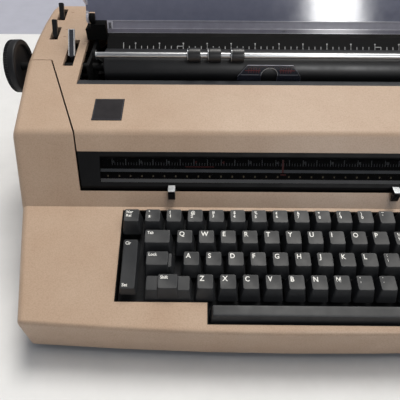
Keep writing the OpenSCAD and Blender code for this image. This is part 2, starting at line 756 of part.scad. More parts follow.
module carrier() {
    color(dark_steel) difference() {
        union() {
            block(carrier_x - carrier_half, carrier_x + carrier_half, rail_y - 8, print_y + 12,
                bed_low, bed_low + 5);
            block(carrier_x - carrier_half, carrier_x + carrier_half, print_y - 8, print_y + 8,
                bed_low, bed_top);
            for (m = [-1, 1]) {
                block(carrier_x + m * arm_x - arm_t, carrier_x + m * arm_x + arm_t,
                    bed_front, rail_y + 10, bed_low, bed_top - 6);
                block(carrier_x + m * arm_x - arm_t / 2, carrier_x + m * arm_x + arm_t / 2,
                    print_y, holder_y + eps, bed_top - 8, bed_top - 4);
            }
        }
        rod_x(-far, far, print_r + run_clear, print_y, print_z);
        block(-far, far, rail_y - rail_half_y - rail_slack, rail_y + rail_half_y + rail_slack,
            rail_z - rail_half_z - rail_slack, rail_z + rail_half_z + rail_slack);
    }
    color(steel) translate([carrier_x, ball_y, bed_top - eps]) cylinder(h = ball_z + 4 - bed_top, r = ball_post_r);
    color(dark_steel) for (m = [-1, 1])
        block(carrier_x + m * arm_x - arm_t / 2, carrier_x + m * arm_x + arm_t / 2,
            holder_y, card_y, bed_top - 8, bed_top + 16);
}
module type_ball() {
    color(steel) difference() {
        intersection() {
            translate([carrier_x, ball_y, ball_z]) sphere(r = ball_r);
            block(-far, far, -far, far, ball_z - ball_r * 0.6, ball_z + ball_r * 0.9);
        }
        translate([carrier_x, ball_y, 0]) cylinder(h = ball_z + 5, r = ball_post_r + run_clear);
    }
}
cartridge_half = 44;
cartridge_low = bed_top - 5;
cartridge_h = 17;
module ribbon_cartridge() {
    color(black_plastic) {
        block(carrier_x - cartridge_half, carrier_x + cartridge_half, rail_y - 20, rail_y + 12,
            cartridge_low, cartridge_low + cartridge_h);
        for (m = [-1, 1]) block(carrier_x + m * arm_x - 3, carrier_x + m * arm_x + 3,
            rail_y - 8, rail_y + 8, bed_top - 6, cartridge_low);
    }
}
card_t = 1;
card_gap = 1.4;
card_y = platen_y - platen_r - card_gap - card_t;
card_low = bed_top - 4;
card_top = 159;
card_shoulder = 146.5;
card_top_half = 22.6;
arch_r = 8.2;
arch_z = 147.8;
gate_half = 20;
gate_top = 138;
// Clear plate in front of the platen with an arch over the place where the type strikes
module card_holder() {
    color([0.8, 0.82, 0.84, 0.5]) translate([carrier_x, card_y + card_t, 0]) rotate([90, 0, 0])
        linear_extrude(card_t) difference() {
            polygon([[-carrier_half, card_low], [carrier_half, card_low], [carrier_half, card_shoulder],
                [card_top_half, card_top], [-card_top_half, card_top], [-carrier_half, card_shoulder]]);
            translate([0, arch_z]) circle(r = arch_r);
            translate([-arch_r, gate_top - 1]) square([2 * arch_r, arch_z - gate_top + 1]);
            translate([-gate_half, card_low - 1]) square([2 * gate_half, gate_top - card_low + 1]);
        }
}

// ---- Margins ----

rack_y = -62;
rack_z = 84;
rack_end = plate_x + 40;
module margin_rack() {
    color(steel) {
        block(-rack_end, rack_end, rack_y - 3, rack_y + 3, rack_z - 2, rack_z + 2);
        for (m = [0, 1]) mirror([m, 0, 0]) block(rack_end - 8, rack_end, rack_y - 3, rack_y + 3,
            base_z, rack_z);
    }
}
// The scale lies under the window, parallel to the steep panel
panel_slope = (ridge_z - crease_z) / (ridge_y - crease_y);
scale_sink = 12;
scale_front = -71.5;
scale_rear = -52;
function scale_z(y) = crease_z + (y - crease_y) * panel_slope - scale_sink;
module margin_scale() {
    color(black_plastic) {
        along_x(-pane_x - 6, pane_x + 6) polygon([[scale_front, scale_z(scale_front)],
            [scale_rear, scale_z(scale_rear)], [scale_rear, scale_z(scale_rear) - 3],
            [scale_front, scale_z(scale_front) - 3]]);
        for (m = [0, 1]) mirror([m, 0, 0])
            block(pane_x, pane_x + 6, rack_y + 5, rack_y + 9, base_z, scale_z(rack_y + 7) - 1);
    }
}
stop_half = 3.2;
stop_blade_t = 1.6;
stop_reach = 7;
module margin_stop(x) {
    blade_y = slot_rear_y - margin_slot / 2;
    blade_top = top_z(blade_y) + 4;
    color(black_plastic) difference() {
        union() {
            block(x - stop_half, x + stop_half, rack_y - 6, rack_y + 6, rack_z - 5, rack_z + 4.5);
            block(x - stop_half, x + stop_half, blade_y - stop_blade_t / 2, rack_y - 5,
                rack_z - 5, rack_z - 2);
            block(x - stop_half, x + stop_half, blade_y - stop_blade_t / 2, blade_y + stop_blade_t / 2,
                rack_z - 5, blade_top);
            block(x - stop_half, x + stop_half, blade_y - stop_reach, blade_y + stop_blade_t / 2,
                blade_top - 1.6, blade_top);
        }
        block(-far, far, rack_y - 3 - rail_slack, rack_y + 3 + rail_slack,
            rack_z - 2 - rail_slack, rack_z + 2 + rail_slack);
    }
}
module margin_stop_left() { margin_stop(margin_left_x); }
module margin_stop_right() { margin_stop(margin_right_x); }

// ---- Levers at the left rear ----

lever_hub_r = 5;
lever_half = 2;
lever_knee_r = 2.4;
lever_side = 1.2; // how far each lever stands to the right of the middle of its slot
// s is the slot, p the pivot, q the point in the slot and tip the end, each [Y, Z]
module lever(s, w, p, q, tip) {
    along_x(s[0] + lever_side - w / 2, s[0] + lever_side + w / 2) difference() {
        union() {
            translate(p) circle(r = lever_hub_r);
            bar(p, q, lever_half, lever_half);
            translate(q) circle(r = lever_knee_r);
            bar(q, tip, lever_half, lever_half * 0.75);
        }
        translate(p) circle(r = lever_pin_r + run_clear);
    }
}
// A lever's knee stands this far behind its pivot, and its tip this far past the knee
release_knee = -8;
release_reach = [19, 19];
space_knee = -1.5;
space_reach = [9, 14];
copy_knee = 0;
copy_reach = [8, 13.5];
blade_w = 6.5;
paddle_w = 5.5;
module panel_lever(s, w, p, knee, reach) {
    y = p[0] + knee;
    lever(s, w, p, [y, top_z(y)], [y + reach[0], top_z(y) + reach[1]]);
}
module paper_release_lever() {
    color(dark_steel) panel_lever(release_slot, blade_w, release_pivot, release_knee, release_reach);
}
module line_space_lever() {
    color(black_plastic) panel_lever(space_slot, paddle_w, space_pivot, space_knee, space_reach);
}
module copy_control_lever() {
    color(black_plastic) panel_lever(copy_slot, paddle_w, copy_pivot, copy_knee, copy_reach);
}

// ---- Keyboard ----

// Stagger of the rows, and places and widths of the wide keys, in steps of the key pitch
row2_shift = 2.53 * key_pitch;
row3_shift = 0.3255 * key_pitch;
row4_shift = 0.6247 * key_pitch;
upper_first = first_x + row2_shift;
home_first = upper_first + row3_shift;
lower_first = home_first + row4_shift;
number_count = 13;
upper_count = 11;
home_count = 11;
lower_count = 10;
key_slope = row_drop / row_step;
key_tilt = 0.18;
key_side = (key_base_w - key_top_w) / 2;
function row_y(r) = key_y - row_step * r;
function row_z(r) = key_z - row_drop * r;
// Height of the plane through the key tops, and of the key plate below it
function key_plane(y) = key_z + (y - key_y) * key_slope;
function plate_top(y) = key_plane(y) - plate_drop;

tab_x = first_x + 1.27 * key_pitch;
tab_w = key_top_w + 0.457 * key_pitch;
lock_x = first_x + 1.391 * key_pitch;
lock_w = key_top_w + 0.441 * key_pitch;
shift_left_x = first_x + 1.832 * key_pitch;
shift_left_w = key_top_w + 1.244 * key_pitch;
shift_right_x = first_x + 14.026 * key_pitch;
shift_right_w = key_top_w + 1.092 * key_pitch;
shift_cap_w = 16.4;
shift_step = 3;
back_x = first_x + 14.105 * key_pitch;
back_w = key_top_w + 0.252 * key_pitch;
return_x = first_x + 14.131 * key_pitch;
return_w = key_top_w + 0.357 * key_pitch;
rocker_w = 12.4;
rocker_side = 1.2;
rocker_h = 8;
clear_x = first_x + 1.4;
clear_y = key_y - 2.25 * row_step;
clear_len = 41;
power_x = right_column - 1;
power_y = key_y - 1.5 * row_step;
power_len = 31;
space_d = 9.2;
space_h = 12.6;

// A key cap: middle of its top, top width and depth, height, and the slope of its top
module cap(x, y, z, w, d, h, slope, side, front, rear) {
    translate([x, y, z]) polyhedron([
        [-w / 2 - side, -d / 2 - front, -h - slope * d / 2],
        [w / 2 + side, -d / 2 - front, -h - slope * d / 2],
        [w / 2 + side, d / 2 + rear, -h + slope * d / 2],
        [-w / 2 - side, d / 2 + rear, -h + slope * d / 2],
        [-w / 2, -d / 2, -slope * d / 2], [w / 2, -d / 2, -slope * d / 2],
        [w / 2, d / 2, slope * d / 2], [-w / 2, d / 2, slope * d / 2]],
        [[0, 1, 2, 3], [4, 7, 6, 5], [0, 4, 5, 1], [1, 5, 6, 2], [2, 6, 7, 3], [3, 7, 4, 0]]);
}
module stem(x, y, z) {
    low = plate_top(y) - plate_t - 6;
    translate([x, y, low]) cylinder(h = z - low, r = stem_r);
}
module key(x, y, z, w) {
    color(key_black) {
        cap(x, y, z, w, key_top_d, key_h, key_tilt, key_side, key_front_lean, key_rear_lean);
        stem(x, y, z - key_h + 3);
    }
}
module key_row(first, r, count) {
    for (k = [0:count - 1]) key(first + key_pitch * k, row_y(r), row_z(r), key_top_w);
}
module number_keys() { key_row(first_x + key_pitch, 0, number_count); }
module upper_keys() { key_row(upper_first, 1, upper_count); }
module home_keys() { key_row(home_first, 2, home_count); }
module lower_keys() { key_row(lower_first, 3, lower_count); }
module margin_release_key() { key(first_x, row_y(0), row_z(0), key_top_w); }
module tab_key() { key(tab_x, row_y(1), row_z(1), tab_w); }
// The lock key has a lower step along its right side
module lock_key() {
    key(lock_x - shift_step / 2, row_y(2), row_z(2), lock_w - shift_step);
    color(key_black) cap(lock_x, row_y(2), row_z(2) - shift_step, lock_w, key_top_d, key_h - shift_step,
        key_tilt, key_side, key_front_lean, key_rear_lean);
}
module shift_key(x, w) {
    key(x, row_y(3), row_z(3), shift_cap_w);
    color(key_black) cap(x, row_y(3), row_z(3) - shift_step, w, key_top_d, key_h - shift_step,
        key_tilt, key_side, key_front_lean, key_rear_lean);
}
module shift_key_left() { shift_key(shift_left_x, shift_left_w); }
module shift_key_right() { shift_key(shift_right_x, shift_right_w); }
module backspace_key() { key(back_x, row_y(0), row_z(0), back_w); }
module index_key() { key(right_column, row_y(0), row_z(0), key_top_w); }
module correct_key() { key(right_column, row_y(3), row_z(3), key_top_w); }
return_y = (row_y(1) + row_y(2)) / 2;
return_d = key_top_d + row_step;
module return_key() {
    color(key_black) {
        cap(return_x, return_y, key_plane(return_y), return_w, return_d, key_h + 1,
            key_slope, key_side, key_front_lean, key_rear_lean);
        stem(return_x, return_y, key_plane(return_y) - key_h + 3);
    }
}
space_stem_x = [space_x - space_w / 3, space_x + space_w / 3];
module space_bar() {
    color(key_black) {
        cap(space_x, space_y, space_z, space_w, space_d, space_h, 0.12, 2.1, 2.1, 1);
        for (x = space_stem_x) stem(x, space_y, space_z - space_h + 3);
    }
}
// Rocker keys turn on a pin between two cheeks on the key plate
rocker_pin_r = 2;
rocker_hub_r = 4;
rocker_hub_half = 3;
cheek_gap = 0.5;
cheek_t = 1.6;
cheek_half = 3;
cheek_rise = 2.3; // low enough that the rocker clears the cheeks at both ends of its travel
rocker_drop = 12;
module rocker(x, y, len) {
    z = key_plane(y);
    color(key_black) difference() {
        union() {
            cap(x, y, z, rocker_w, len, rocker_h, key_slope, rocker_side, rocker_side, rocker_side);
            rod_x(x - rocker_hub_half, x + rocker_hub_half, rocker_hub_r, y, z - rocker_drop);
            block(x - rocker_hub_half, x + rocker_hub_half, y - 2.5, y + 2.5,
                z - rocker_drop + 2.8, z - rocker_h + 4);
        }
        rod_x(x - 10, x + 10, rocker_pin_r + run_clear, y, z - rocker_drop);
    }
}
module rocker_seat(x, y) {
    z = key_plane(y) - rocker_drop;
    reach = rocker_hub_half + cheek_gap + cheek_t;
    rod_x(x - reach, x + reach, rocker_pin_r, y, z);
    for (m = [-1, 1]) translate([x + m * (reach - cheek_t / 2), 0, 0])
        block(-cheek_t / 2, cheek_t / 2, y - cheek_half, y + cheek_half, plate_top(y) - 2, z + cheek_rise);
}
module clear_set_rocker() { rocker(clear_x, clear_y, clear_len); }
module power_rocker() { rocker(power_x, power_y, power_len); }

// Every key stem that passes through the key plate, as [x, y]
function row_stems(first, r, count) = [for (k = [0:count - 1]) [first + key_pitch * k, row_y(r)]];
stems = concat(row_stems(first_x, 0, number_count + 1), row_stems(upper_first, 1, upper_count),
    row_stems(home_first, 2, home_count), row_stems(lower_first, 3, lower_count),
    [[tab_x, row_y(1)], [lock_x - shift_step / 2, row_y(2)], [shift_left_x, row_y(3)],
    [shift_right_x, row_y(3)], [back_x, row_y(0)], [right_column, row_y(0)],
    [right_column, row_y(3)], [return_x, return_y]],
    [for (x = space_stem_x) [x, space_y]]);
leg_half = 3;
leg_inset = 5;
module keyboard_frame() {
    color(dark_steel) {
        difference() {
            intersection() {
                along_x(well_left, well_right) polygon([[well_rear, plate_top(well_rear)],
                    [space_front, plate_top(space_front)], [space_front, plate_top(space_front) - plate_t],
                    [well_rear, plate_top(well_rear) - plate_t]]);
                linear_extrude(far) well_plan(0);
            }
            for (p = stems) translate([p[0], p[1], 0]) cylinder(h = far, r = stem_r + stem_gap);
        }
        for (x = [well_left + leg_inset, well_right - leg_inset], y = [well_rear - leg_inset,
            well_front + leg_inset]) block(x - leg_half, x + leg_half, y - leg_half, y + leg_half,
            base_z, plate_top(y) - plate_t / 2);
        rocker_seat(clear_x, clear_y);
        rocker_seat(power_x, power_y);
    }
}
liner_drop = 0.8;
module key_well() {
    color(black_plastic) intersection() {
        translate([0, 0, base_z]) linear_extrude(far) difference() {
            well_plan(0);
            well_plan(liner_t);
        }
        along_x(well_left, well_right) polygon([[well_rear, plate_top(well_rear)],
            [well_rear, top_z(well_rear) - liner_drop], [space_front, top_z(space_front) - liner_drop],
            [space_front, plate_top(space_front)]]);
    }
}

lower_case();
base_pan();
rubber_feet();
key_well();
keyboard_frame();
power_frame();
guide_rail();
paper_deflector();
paper_scale();
margin_rack();
margin_scale();
motor();
cover_hinge_posts();
power_inlet();
top_cover();
window_bezel();
margin_window();
opening_trim();
name_plate();
hood_brackets();
cover_hinge_lugs();
sound_hood();
guard_bar();
platen();
platen_shaft();
knob_left();
knob_right();
feed_rollers();
paper_bail();
bail_roller_left();
bail_roller_middle();
bail_roller_right();
paper_release_lever();
line_space_lever();
copy_control_lever();
margin_stop_left();
margin_stop_right();
carrier();
type_ball();
ribbon_cartridge();
card_holder();
print_shaft();
number_keys();
upper_keys();
home_keys();
lower_keys();
margin_release_key();
clear_set_rocker();
tab_key();
lock_key();
shift_key_left();
shift_key_right();
space_bar();
backspace_key();
index_key();
return_key();
correct_key();
power_rocker();
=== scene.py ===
# %% [markdown]
# # An electric office typewriter
# The machine is a painted shell with a hinged top cover, a black keyboard, and a rubber
# platen that runs across it under a smoked hood. The solids that carry and move everything
# are loaded as a fixed frame. Each cell then adds one piece or one finish, in the same place.

# %% The frame
import json
import math
import bmesh
import bpy
from mathutils import Matrix, Vector

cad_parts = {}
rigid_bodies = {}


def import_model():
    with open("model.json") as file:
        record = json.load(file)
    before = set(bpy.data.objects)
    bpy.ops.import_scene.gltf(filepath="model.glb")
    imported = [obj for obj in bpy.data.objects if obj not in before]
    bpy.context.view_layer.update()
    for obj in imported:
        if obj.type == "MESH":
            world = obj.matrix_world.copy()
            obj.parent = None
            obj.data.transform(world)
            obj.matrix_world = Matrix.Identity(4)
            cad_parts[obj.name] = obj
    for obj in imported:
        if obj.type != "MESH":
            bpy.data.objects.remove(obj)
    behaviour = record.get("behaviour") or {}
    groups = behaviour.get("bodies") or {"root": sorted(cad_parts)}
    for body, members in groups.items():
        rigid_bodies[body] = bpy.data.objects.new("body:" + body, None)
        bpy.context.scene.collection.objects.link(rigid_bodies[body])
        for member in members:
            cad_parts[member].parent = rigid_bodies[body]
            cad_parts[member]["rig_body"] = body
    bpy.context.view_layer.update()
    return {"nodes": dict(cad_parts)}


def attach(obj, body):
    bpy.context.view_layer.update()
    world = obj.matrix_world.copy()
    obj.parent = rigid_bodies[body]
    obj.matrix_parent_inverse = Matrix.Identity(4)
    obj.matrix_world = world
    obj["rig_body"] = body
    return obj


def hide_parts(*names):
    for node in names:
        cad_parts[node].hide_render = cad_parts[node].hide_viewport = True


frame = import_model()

# %% [markdown]
# ## Units and small helpers
# The pieces are drawn in millimetres, as on a workshop drawing, and become metres when
# they are finished. A finished piece sits at the origin with its place in its mesh,
# so that a pattern that reads object coordinates stays put when the piece moves.

# %% Helpers for meshes
MM = 0.001


def body_of(node):
    return frame["nodes"][node]["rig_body"]


def show(made):
    """Puts an object into the scene."""
    bpy.context.scene.collection.objects.link(made)
    return made


def corner_normals(bm, sharp):
    """Smooth normals in which a large face outweighs the narrow strips of a rounded edge."""
    bm.normal_update()
    bm.faces.index_update()
    area = [face.calc_area() for face in bm.faces]
    least = math.cos(math.radians(sharp))
    normals = []
    for face in bm.faces:
        for vert in face.verts:
            total = Vector()
            for other in vert.link_faces:
                if other.normal.dot(face.normal) > least:
                    total += other.normal * area[other.index]
            normals.append(total.normalized() if total.length > 1e-12 else face.normal.copy())
    return normals


def finish_piece(name, bm, material, body, node=None, sharp=32, metres=False):
    """Closes a bmesh into an object that rides on a body and may stand for a CAD node."""
    if not metres:
        bmesh.ops.scale(bm, vec=(MM, MM, MM), verts=bm.verts)
        bmesh.ops.remove_doubles(bm, verts=bm.verts, dist=1e-6)
        bmesh.ops.recalc_face_normals(bm, faces=bm.faces)
    for face in bm.faces:
        face.smooth = True
    normals = corner_normals(bm, sharp)
    mesh = bpy.data.meshes.new(name)
    bm.to_mesh(mesh)
    bm.free()
    mesh.normals_split_custom_set(normals)
    mesh.materials.append(material)
    piece = show(bpy.data.objects.new(name, mesh))
    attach(piece, body)
    if node:
        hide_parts(node)
    return piece


def second_finish(piece, material, chosen):
    """Gives a second material to the faces that a test picks by the face and its points."""
    piece.data.materials.append(material)
    for face in piece.data.polygons:
        if chosen(face, [piece.data.vertices[v].co for v in face.vertices]):
            face.material_index = 1


def soften(bm, edges, width, segments=2):
    """Rounds some edges by a width in the units of the mesh."""
    bmesh.ops.bevel(bm, geom=list(edges), offset=width, offset_type="OFFSET", affect="EDGES",
                    segments=segments, profile=0.5, material=-1, clamp_overlap=True)


def block(bm, low, high, width=0.0):
    """A box between two corners, with its edges rounded."""
    made = bmesh.ops.create_cube(bm, size=1.0)["verts"]
    for vert in made:
        for i in range(3):
            vert.co[i] = high[i] if vert.co[i] > 0 else low[i]
    if width:
        soften(bm, {e for v in made for e in v.link_edges}, width)


def across(bm, outline, x0, x1, width=0.0):
    """Extrudes a (y, z) outline along X and rounds its edges."""
    verts = [bm.verts.new((x0, y, z)) for y, z in outline]
    start = bm.faces.new(verts)
    grown = bmesh.ops.extrude_face_region(bm, geom=[start])["geom"]
    ends = [v for v in grown if isinstance(v, bmesh.types.BMVert)]
    bmesh.ops.translate(bm, vec=(x1 - x0, 0, 0), verts=ends)
    if width:
        soften(bm, {e for v in verts + ends for e in v.link_edges}, width)


def spin(bm, points, centre, axis, steps):
    """Joins points into a line and spins it once round an axis."""
    verts = [bm.verts.new(point) for point in points]
    edges = [bm.edges.new(pair) for pair in zip(verts, verts[1:])]
    bmesh.ops.spin(bm, geom=verts + edges, cent=centre, axis=axis, dvec=(0, 0, 0),
                   angle=2 * math.pi, steps=steps, use_merge=True, use_duplicate=False)


def turned(bm, outline, y, z, steps):
    """Spins an (x, radius) outline round an axis along X, as on a lathe."""
    spin(bm, [(x, y, z + r) for x, r in outline], (0, y, z), (1, 0, 0), steps)


def turned_upright(bm, outline, x, y, z, steps):
    """Spins a (radius, height) outline round an upright axis."""
    spin(bm, [(x + r, y, z + h) for r, h in outline], (x, y, z), (0, 0, 1), steps)


def rectangle(x0, x1, up0, up1):
    return [(x0, up0), (x1, up0), (x1, up1), (x0, up1)]


def arc(x, up, radius, degrees):
    """The points of a circle at some angles."""
    turns = [math.radians(a) for a in degrees]
    return [(x + radius * math.cos(t), up + radius * math.sin(t)) for t in turns]


def hub(x0, x1, bore, radius):
    """The (x, radius) outline of a short tube with its outer rims bevelled."""
    bevel = 0.3
    inward = math.copysign(bevel, x1 - x0)
    return [(x0, bore), (x0, radius - bevel), (x0 + inward, radius), (x1 - inward, radius),
            (x1, radius - bevel), (x1, bore), (x0, bore)]


print("helpers ready")

# %% [markdown]
# ## Colours and nodes
# A colour is written as its sRGB hex value, the way a paint chart gives it, and one function
# turns it to the linear values that the renderer works in. A second function adds a node.

# %% Helpers for materials
def colour(code):
    parts = [int(code[i:i + 2], 16) / 255 for i in (1, 3, 5)]
    return [p / 12.92 if p <= 0.04045 else ((p + 0.055) / 1.055) ** 2.4 for p in parts] + [1.0]


def add(tree, kind, inputs=None, **settings):
    """Adds a node with its settings; an input is a value or another node's output."""
    made = tree.nodes.new(kind)
    for name, value in settings.items():
        setattr(made, name, value)
    for name, value in (inputs or {}).items():
        if isinstance(value, bpy.types.NodeSocket):
            tree.links.new(value, made.inputs[name])
        else:
            made.inputs[name].default_value = value
    return made


def begin(name):
    """A material with an empty node tree, and the object coordinates in metres."""
    material = bpy.data.materials.new(name)
    material.use_nodes = True
    tree = material.node_tree
    tree.nodes.clear()
    return material, tree, add(tree, "ShaderNodeTexCoord").outputs["Object"]


def grain(tree, place, size_mm, detail=2.0, rough=0.5):
    """Noise whose blobs are about as wide as the size."""
    return add(tree, "ShaderNodeTexNoise", {"Vector": place, "Scale": 1 / (size_mm * MM),
               "Detail": detail, "Roughness": rough}).outputs["Fac"]


def relief(tree, height, depth_mm, strength=1.0):
    """A bump normal from a height between 0 and 1."""
    return add(tree, "ShaderNodeBump", {"Height": height, "Distance": depth_mm * MM,
               "Strength": strength}).outputs["Normal"]


def between(tree, factor, low, high, low_at=0.35, high_at=0.65):
    """A colour that goes from low to high as the factor rises."""
    ramp = add(tree, "ShaderNodeValToRGB", {"Fac": factor})
    ramp.color_ramp.elements[0].position = low_at
    ramp.color_ramp.elements[1].position = high_at
    ramp.color_ramp.elements[0].color = colour(low)
    ramp.color_ramp.elements[1].color = colour(high)
    return ramp.outputs["Color"]


def spread(tree, factor, low, high):
    """A number that goes from low to high as the factor does from 0.3 to 0.7."""
    return add(tree, "ShaderNodeMapRange", {"Value": factor, "From Min": 0.3, "From Max": 0.7,
               "To Min": low, "To Max": high}).outputs["Result"]


def close(tree, inputs):
    shader = add(tree, "ShaderNodeBsdfPrincipled", inputs)
    add(tree, "ShaderNodeOutputMaterial", {"Surface": shader.outputs["BSDF"]})


print("material helpers ready")

# %% [markdown]
# ## Textured enamel
# The shell is aluminium and sheet steel under a thick enamel that was sprayed in two coats,
# the second as spatter, which dries as fine pebbles under a millimetre across. The eye gets
# a soft, slightly mottled surface with a broad, dull shine. The pebbles are drawn at 1.1 mm,
# a little coarser than life, so that they show from where the machine is seen.

# %% Tan enamel
def textured_enamel(name, low, high):
    material, tree, place = begin(name)
    pebbles = grain(tree, place, 1.1, 1.5, 0.45)
    patches = grain(tree, place, 38, 3.0, 0.6)
    tone = between(tree, patches, low, high, 0.3, 0.7)
    speck = between(tree, pebbles, "#F2F0EE", "#FFFFFF", 0.3, 0.6)
    paint = add(tree, "ShaderNodeMixRGB", {"Fac": 1.0, "Color1": tone, "Color2": speck},
                blend_type="MULTIPLY")
    close(tree, {"Base Color": paint.outputs["Color"],
                 "Roughness": spread(tree, pebbles, 0.5, 0.4), "Specular IOR Level": 0.3,
                 "Normal": relief(tree, pebbles, 0.09, 0.5)})
    return material


tan_enamel = textured_enamel("textured_enamel_tan", "#C0A58E", "#C7AE98")
print(tan_enamel.name)

# %% [markdown]
# ## Black plastics, rubber, inks and metals
# The trim and the bezel are moulded ABS, with a fine spark-eroded grain that leaves them
# dull; the levers are smooth. The key caps are moulded in a charcoal plastic that years of
# fingers have worn to a faint sheen. The platen is ground rubber, and the bail rod is
# polished steel. The marks and legends are inks in a few faded colours.

# %% Plastics and rubber
def moulded_plastic(name, low, high, rough, grain_mm=0.7, depth_mm=0.03, specular=0.5):
    material, tree, place = begin(name)
    fine = grain(tree, place, grain_mm)
    cloud = grain(tree, place, 14, 3.0, 0.6)
    close(tree, {"Base Color": between(tree, cloud, low, high),
                 "Roughness": spread(tree, cloud, rough + 0.05, rough - 0.05),
                 "Specular IOR Level": specular,
                 "Normal": relief(tree, fine, depth_mm, 0.6)})
    return material


trim_abs = moulded_plastic("grained_abs_black", "#16171A", "#1E1F22", 0.48)
bezel_abs = moulded_plastic("grained_bezel_black", "#0A0B0D", "#0F1012", 0.6, 0.7, 0.03, 0.15)
# The lip of the platen opening is the same black ABS drawn lighter grey: a painted highlight for the
# light it catches.
lit_lip_abs = moulded_plastic("grained_abs_painted_highlight", "#2E3034", "#36383C", 0.5, specular=0.3)
well_black = moulded_plastic("well_liner_black", "#070708", "#0B0B0C", 0.7, 1.0, 0.03, 0.1)
lever_abs = moulded_plastic("smooth_abs_black", "#0E0F11", "#16171A", 0.3, 2.0, 0.01)
key_abs = moulded_plastic("worn_keycap_charcoal", "#25272A", "#2C2E31", 0.5, 0.6, 0.02, 0.4)
knob_abs = moulded_plastic("moulded_knob_black", "#15161A", "#1D1E22", 0.55, specular=0.3)
plate_black = moulded_plastic("satin_plate_black", "#262427", "#2C2A2D", 0.65, 1.0, 0.01, 0.15)
platen_rubber = moulded_plastic("ground_platen_rubber", "#141518", "#1C1D20", 0.42, 1.0, 0.02)
foot_rubber = moulded_plastic("moulded_foot_rubber", "#141414", "#1E1E1E", 0.8, 1.2, 0.05)
legend_white = moulded_plastic("legend_ink_white", "#EDEDE8", "#F6F6F2", 0.5)
mark_white = moulded_plastic("scale_ink_white", "#C9CACB", "#DADBDC", 0.5)
mark_grey = moulded_plastic("faded_scale_ink", "#A0A4A8", "#B4B8BC", 0.6, specular=0.1)
mark_cream = moulded_plastic("scale_ink_cream", "#C9B996", "#D6C8A8", 0.6, specular=0.1)
mark_red = moulded_plastic("scale_ink_red", "#A33B36", "#B5443E", 0.5)
mark_brown = moulded_plastic("mark_ink_brown", "#8C6650", "#9A7460", 0.6)
print("plastics ready")

# %% Metals
def worked_metal(name, low, high, rough, grain_mm, metallic=1.0, specular=0.5):
    """Grain runs along X, the way a rod or a bar is drawn and polished."""
    material, tree, place = begin(name)
    stretched = add(tree, "ShaderNodeMapping", {"Vector": place, "Scale": (0.04, 1, 1)})
    lines = grain(tree, stretched.outputs["Vector"], grain_mm, 3.0, 0.6)
    close(tree, {"Base Color": between(tree, lines, low, high), "Metallic": metallic,
                 "Specular IOR Level": specular,
                 "Roughness": spread(tree, lines, rough - 0.05, rough + 0.07),
                 "Normal": relief(tree, lines, 0.01, 0.4)})
    return material


polished_steel = worked_metal("polished_steel_rod", "#A8AAAC", "#C0C2C4", 0.34, 0.5)
brushed_steel = worked_metal("zinc_plated_steel", "#8D9093", "#A8ABAE", 0.36, 0.6)
blackened_steel = worked_metal("blackened_steel", "#17181A", "#222326", 0.45, 0.8, 0.6)
oiled_black = worked_metal("oiled_black_shaft", "#0B0B0C", "#101012", 0.6, 0.6, 0.0, 0.15)
nickel_plate = worked_metal("nickel_plated_ball", "#A5A7AA", "#C3C5C8", 0.2, 0.9)
grey_bar_paint = worked_metal("grey_painted_bar", "#9A9FA4", "#AAAFB4", 0.6, 0.8, 0.0, 0.1)
pale_bar_paint = worked_metal("pale_painted_bar", "#D0D3D6", "#DCDFE2", 0.6, 0.8, 0.0, 0.1)
blade_grey = worked_metal("dark_lever_blade", "#3C3E46", "#484A53", 0.4, 0.6, 0.3)
# Near-white for the folded edges of the release blade: a painted highlight.
blade_edge_highlight = worked_metal("blade_painted_edge_highlight", "#E4E6EA", "#F2F3F6", 0.25, 0.5, 0.2)
print("metals ready")

# %% [markdown]
# ## Clear and smoked acrylic
# The hood and the window are tinted acrylic sheet, and the guard bar and the card holder are
# clear. The sheets are drawn partly see-through, with a plain alpha, so light does not bend
# in them; their shine has the refractive index of acrylic, 1.49. Cut edges gather light in
# such sheet. Here that light is painted: the edges are pieces of their own in a paler copy
# of the acrylic, a painted highlight.

# %% Acrylics
def acrylic(name, low, high, rough, alpha, specular=0.5):
    material, tree, place = begin(name)
    haze = grain(tree, place, 9, 3.0, 0.6)
    close(tree, {"Base Color": between(tree, haze, low, high), "IOR": 1.49,
                 "Roughness": spread(tree, haze, rough, rough + 0.04),
                 "Specular IOR Level": specular, "Alpha": alpha})
    material.surface_render_method = "BLENDED"
    return material


smoked_acrylic = acrylic("smoked_acrylic_hood", "#84889E", "#8A8EA4", 0.1, 0.93)
window_acrylic = acrylic("tinted_acrylic_window", "#0B0B0D", "#0F0F11", 0.1, 0.3, 0.0)
clear_acrylic = acrylic("clear_acrylic_guard", "#9A99A8", "#A3A2B2", 0.14, 0.9, 0.2)
card_acrylic = acrylic("clear_acrylic_card", "#4E5364", "#565B6C", 0.08, 0.35)
# A pale band for the guard bar's upper half: a painted highlight.
acrylic_band_highlight = acrylic("acrylic_painted_highlight_band", "#C9C8D8", "#D3D2E2", 0.3, 0.6, 0.2)
# A pale copy of the acrylic for cut edges: a painted highlight.
acrylic_edge_highlight = acrylic("acrylic_painted_edge_highlight", "#DAD9E4", "#E6E5F0", 0.15, 0.95)
print("acrylics ready")

# %% [markdown]
# ## Rounded copies of solids
# Pressed and moulded edges are never sharp: a bend or a mould leaves a small radius that
# catches a thin line of light. Where a solid already has the right shape, a copy of it is
# merged, its flat faces are joined, and its sharp edges are bevelled.

# %% Rounded copies
MERGE = 2e-6  # metres
LEAST_BEND = math.radians(30)  # an edge that bends more is rounded


def rounded_copy(node, material, width):
    """A copy of a solid whose sharp edges are rounded by a width in millimetres."""
    source = frame["nodes"][node]
    bm = bmesh.new()
    bm.from_mesh(source.data)
    bmesh.ops.remove_doubles(bm, verts=bm.verts, dist=MERGE)
    bmesh.ops.dissolve_limit(bm, angle_limit=math.radians(0.5), verts=bm.verts, edges=bm.edges)
    bmesh.ops.dissolve_degenerate(bm, dist=MERGE, edges=bm.edges)
    edges = [e for e in bm.edges
             if len(e.link_faces) == 2 and e.calc_face_angle(0) > LEAST_BEND]
    soften(bm, edges, width * MM)
    return finish_piece(node + "_finished", bm, material, body_of(node), node, 30, metres=True)


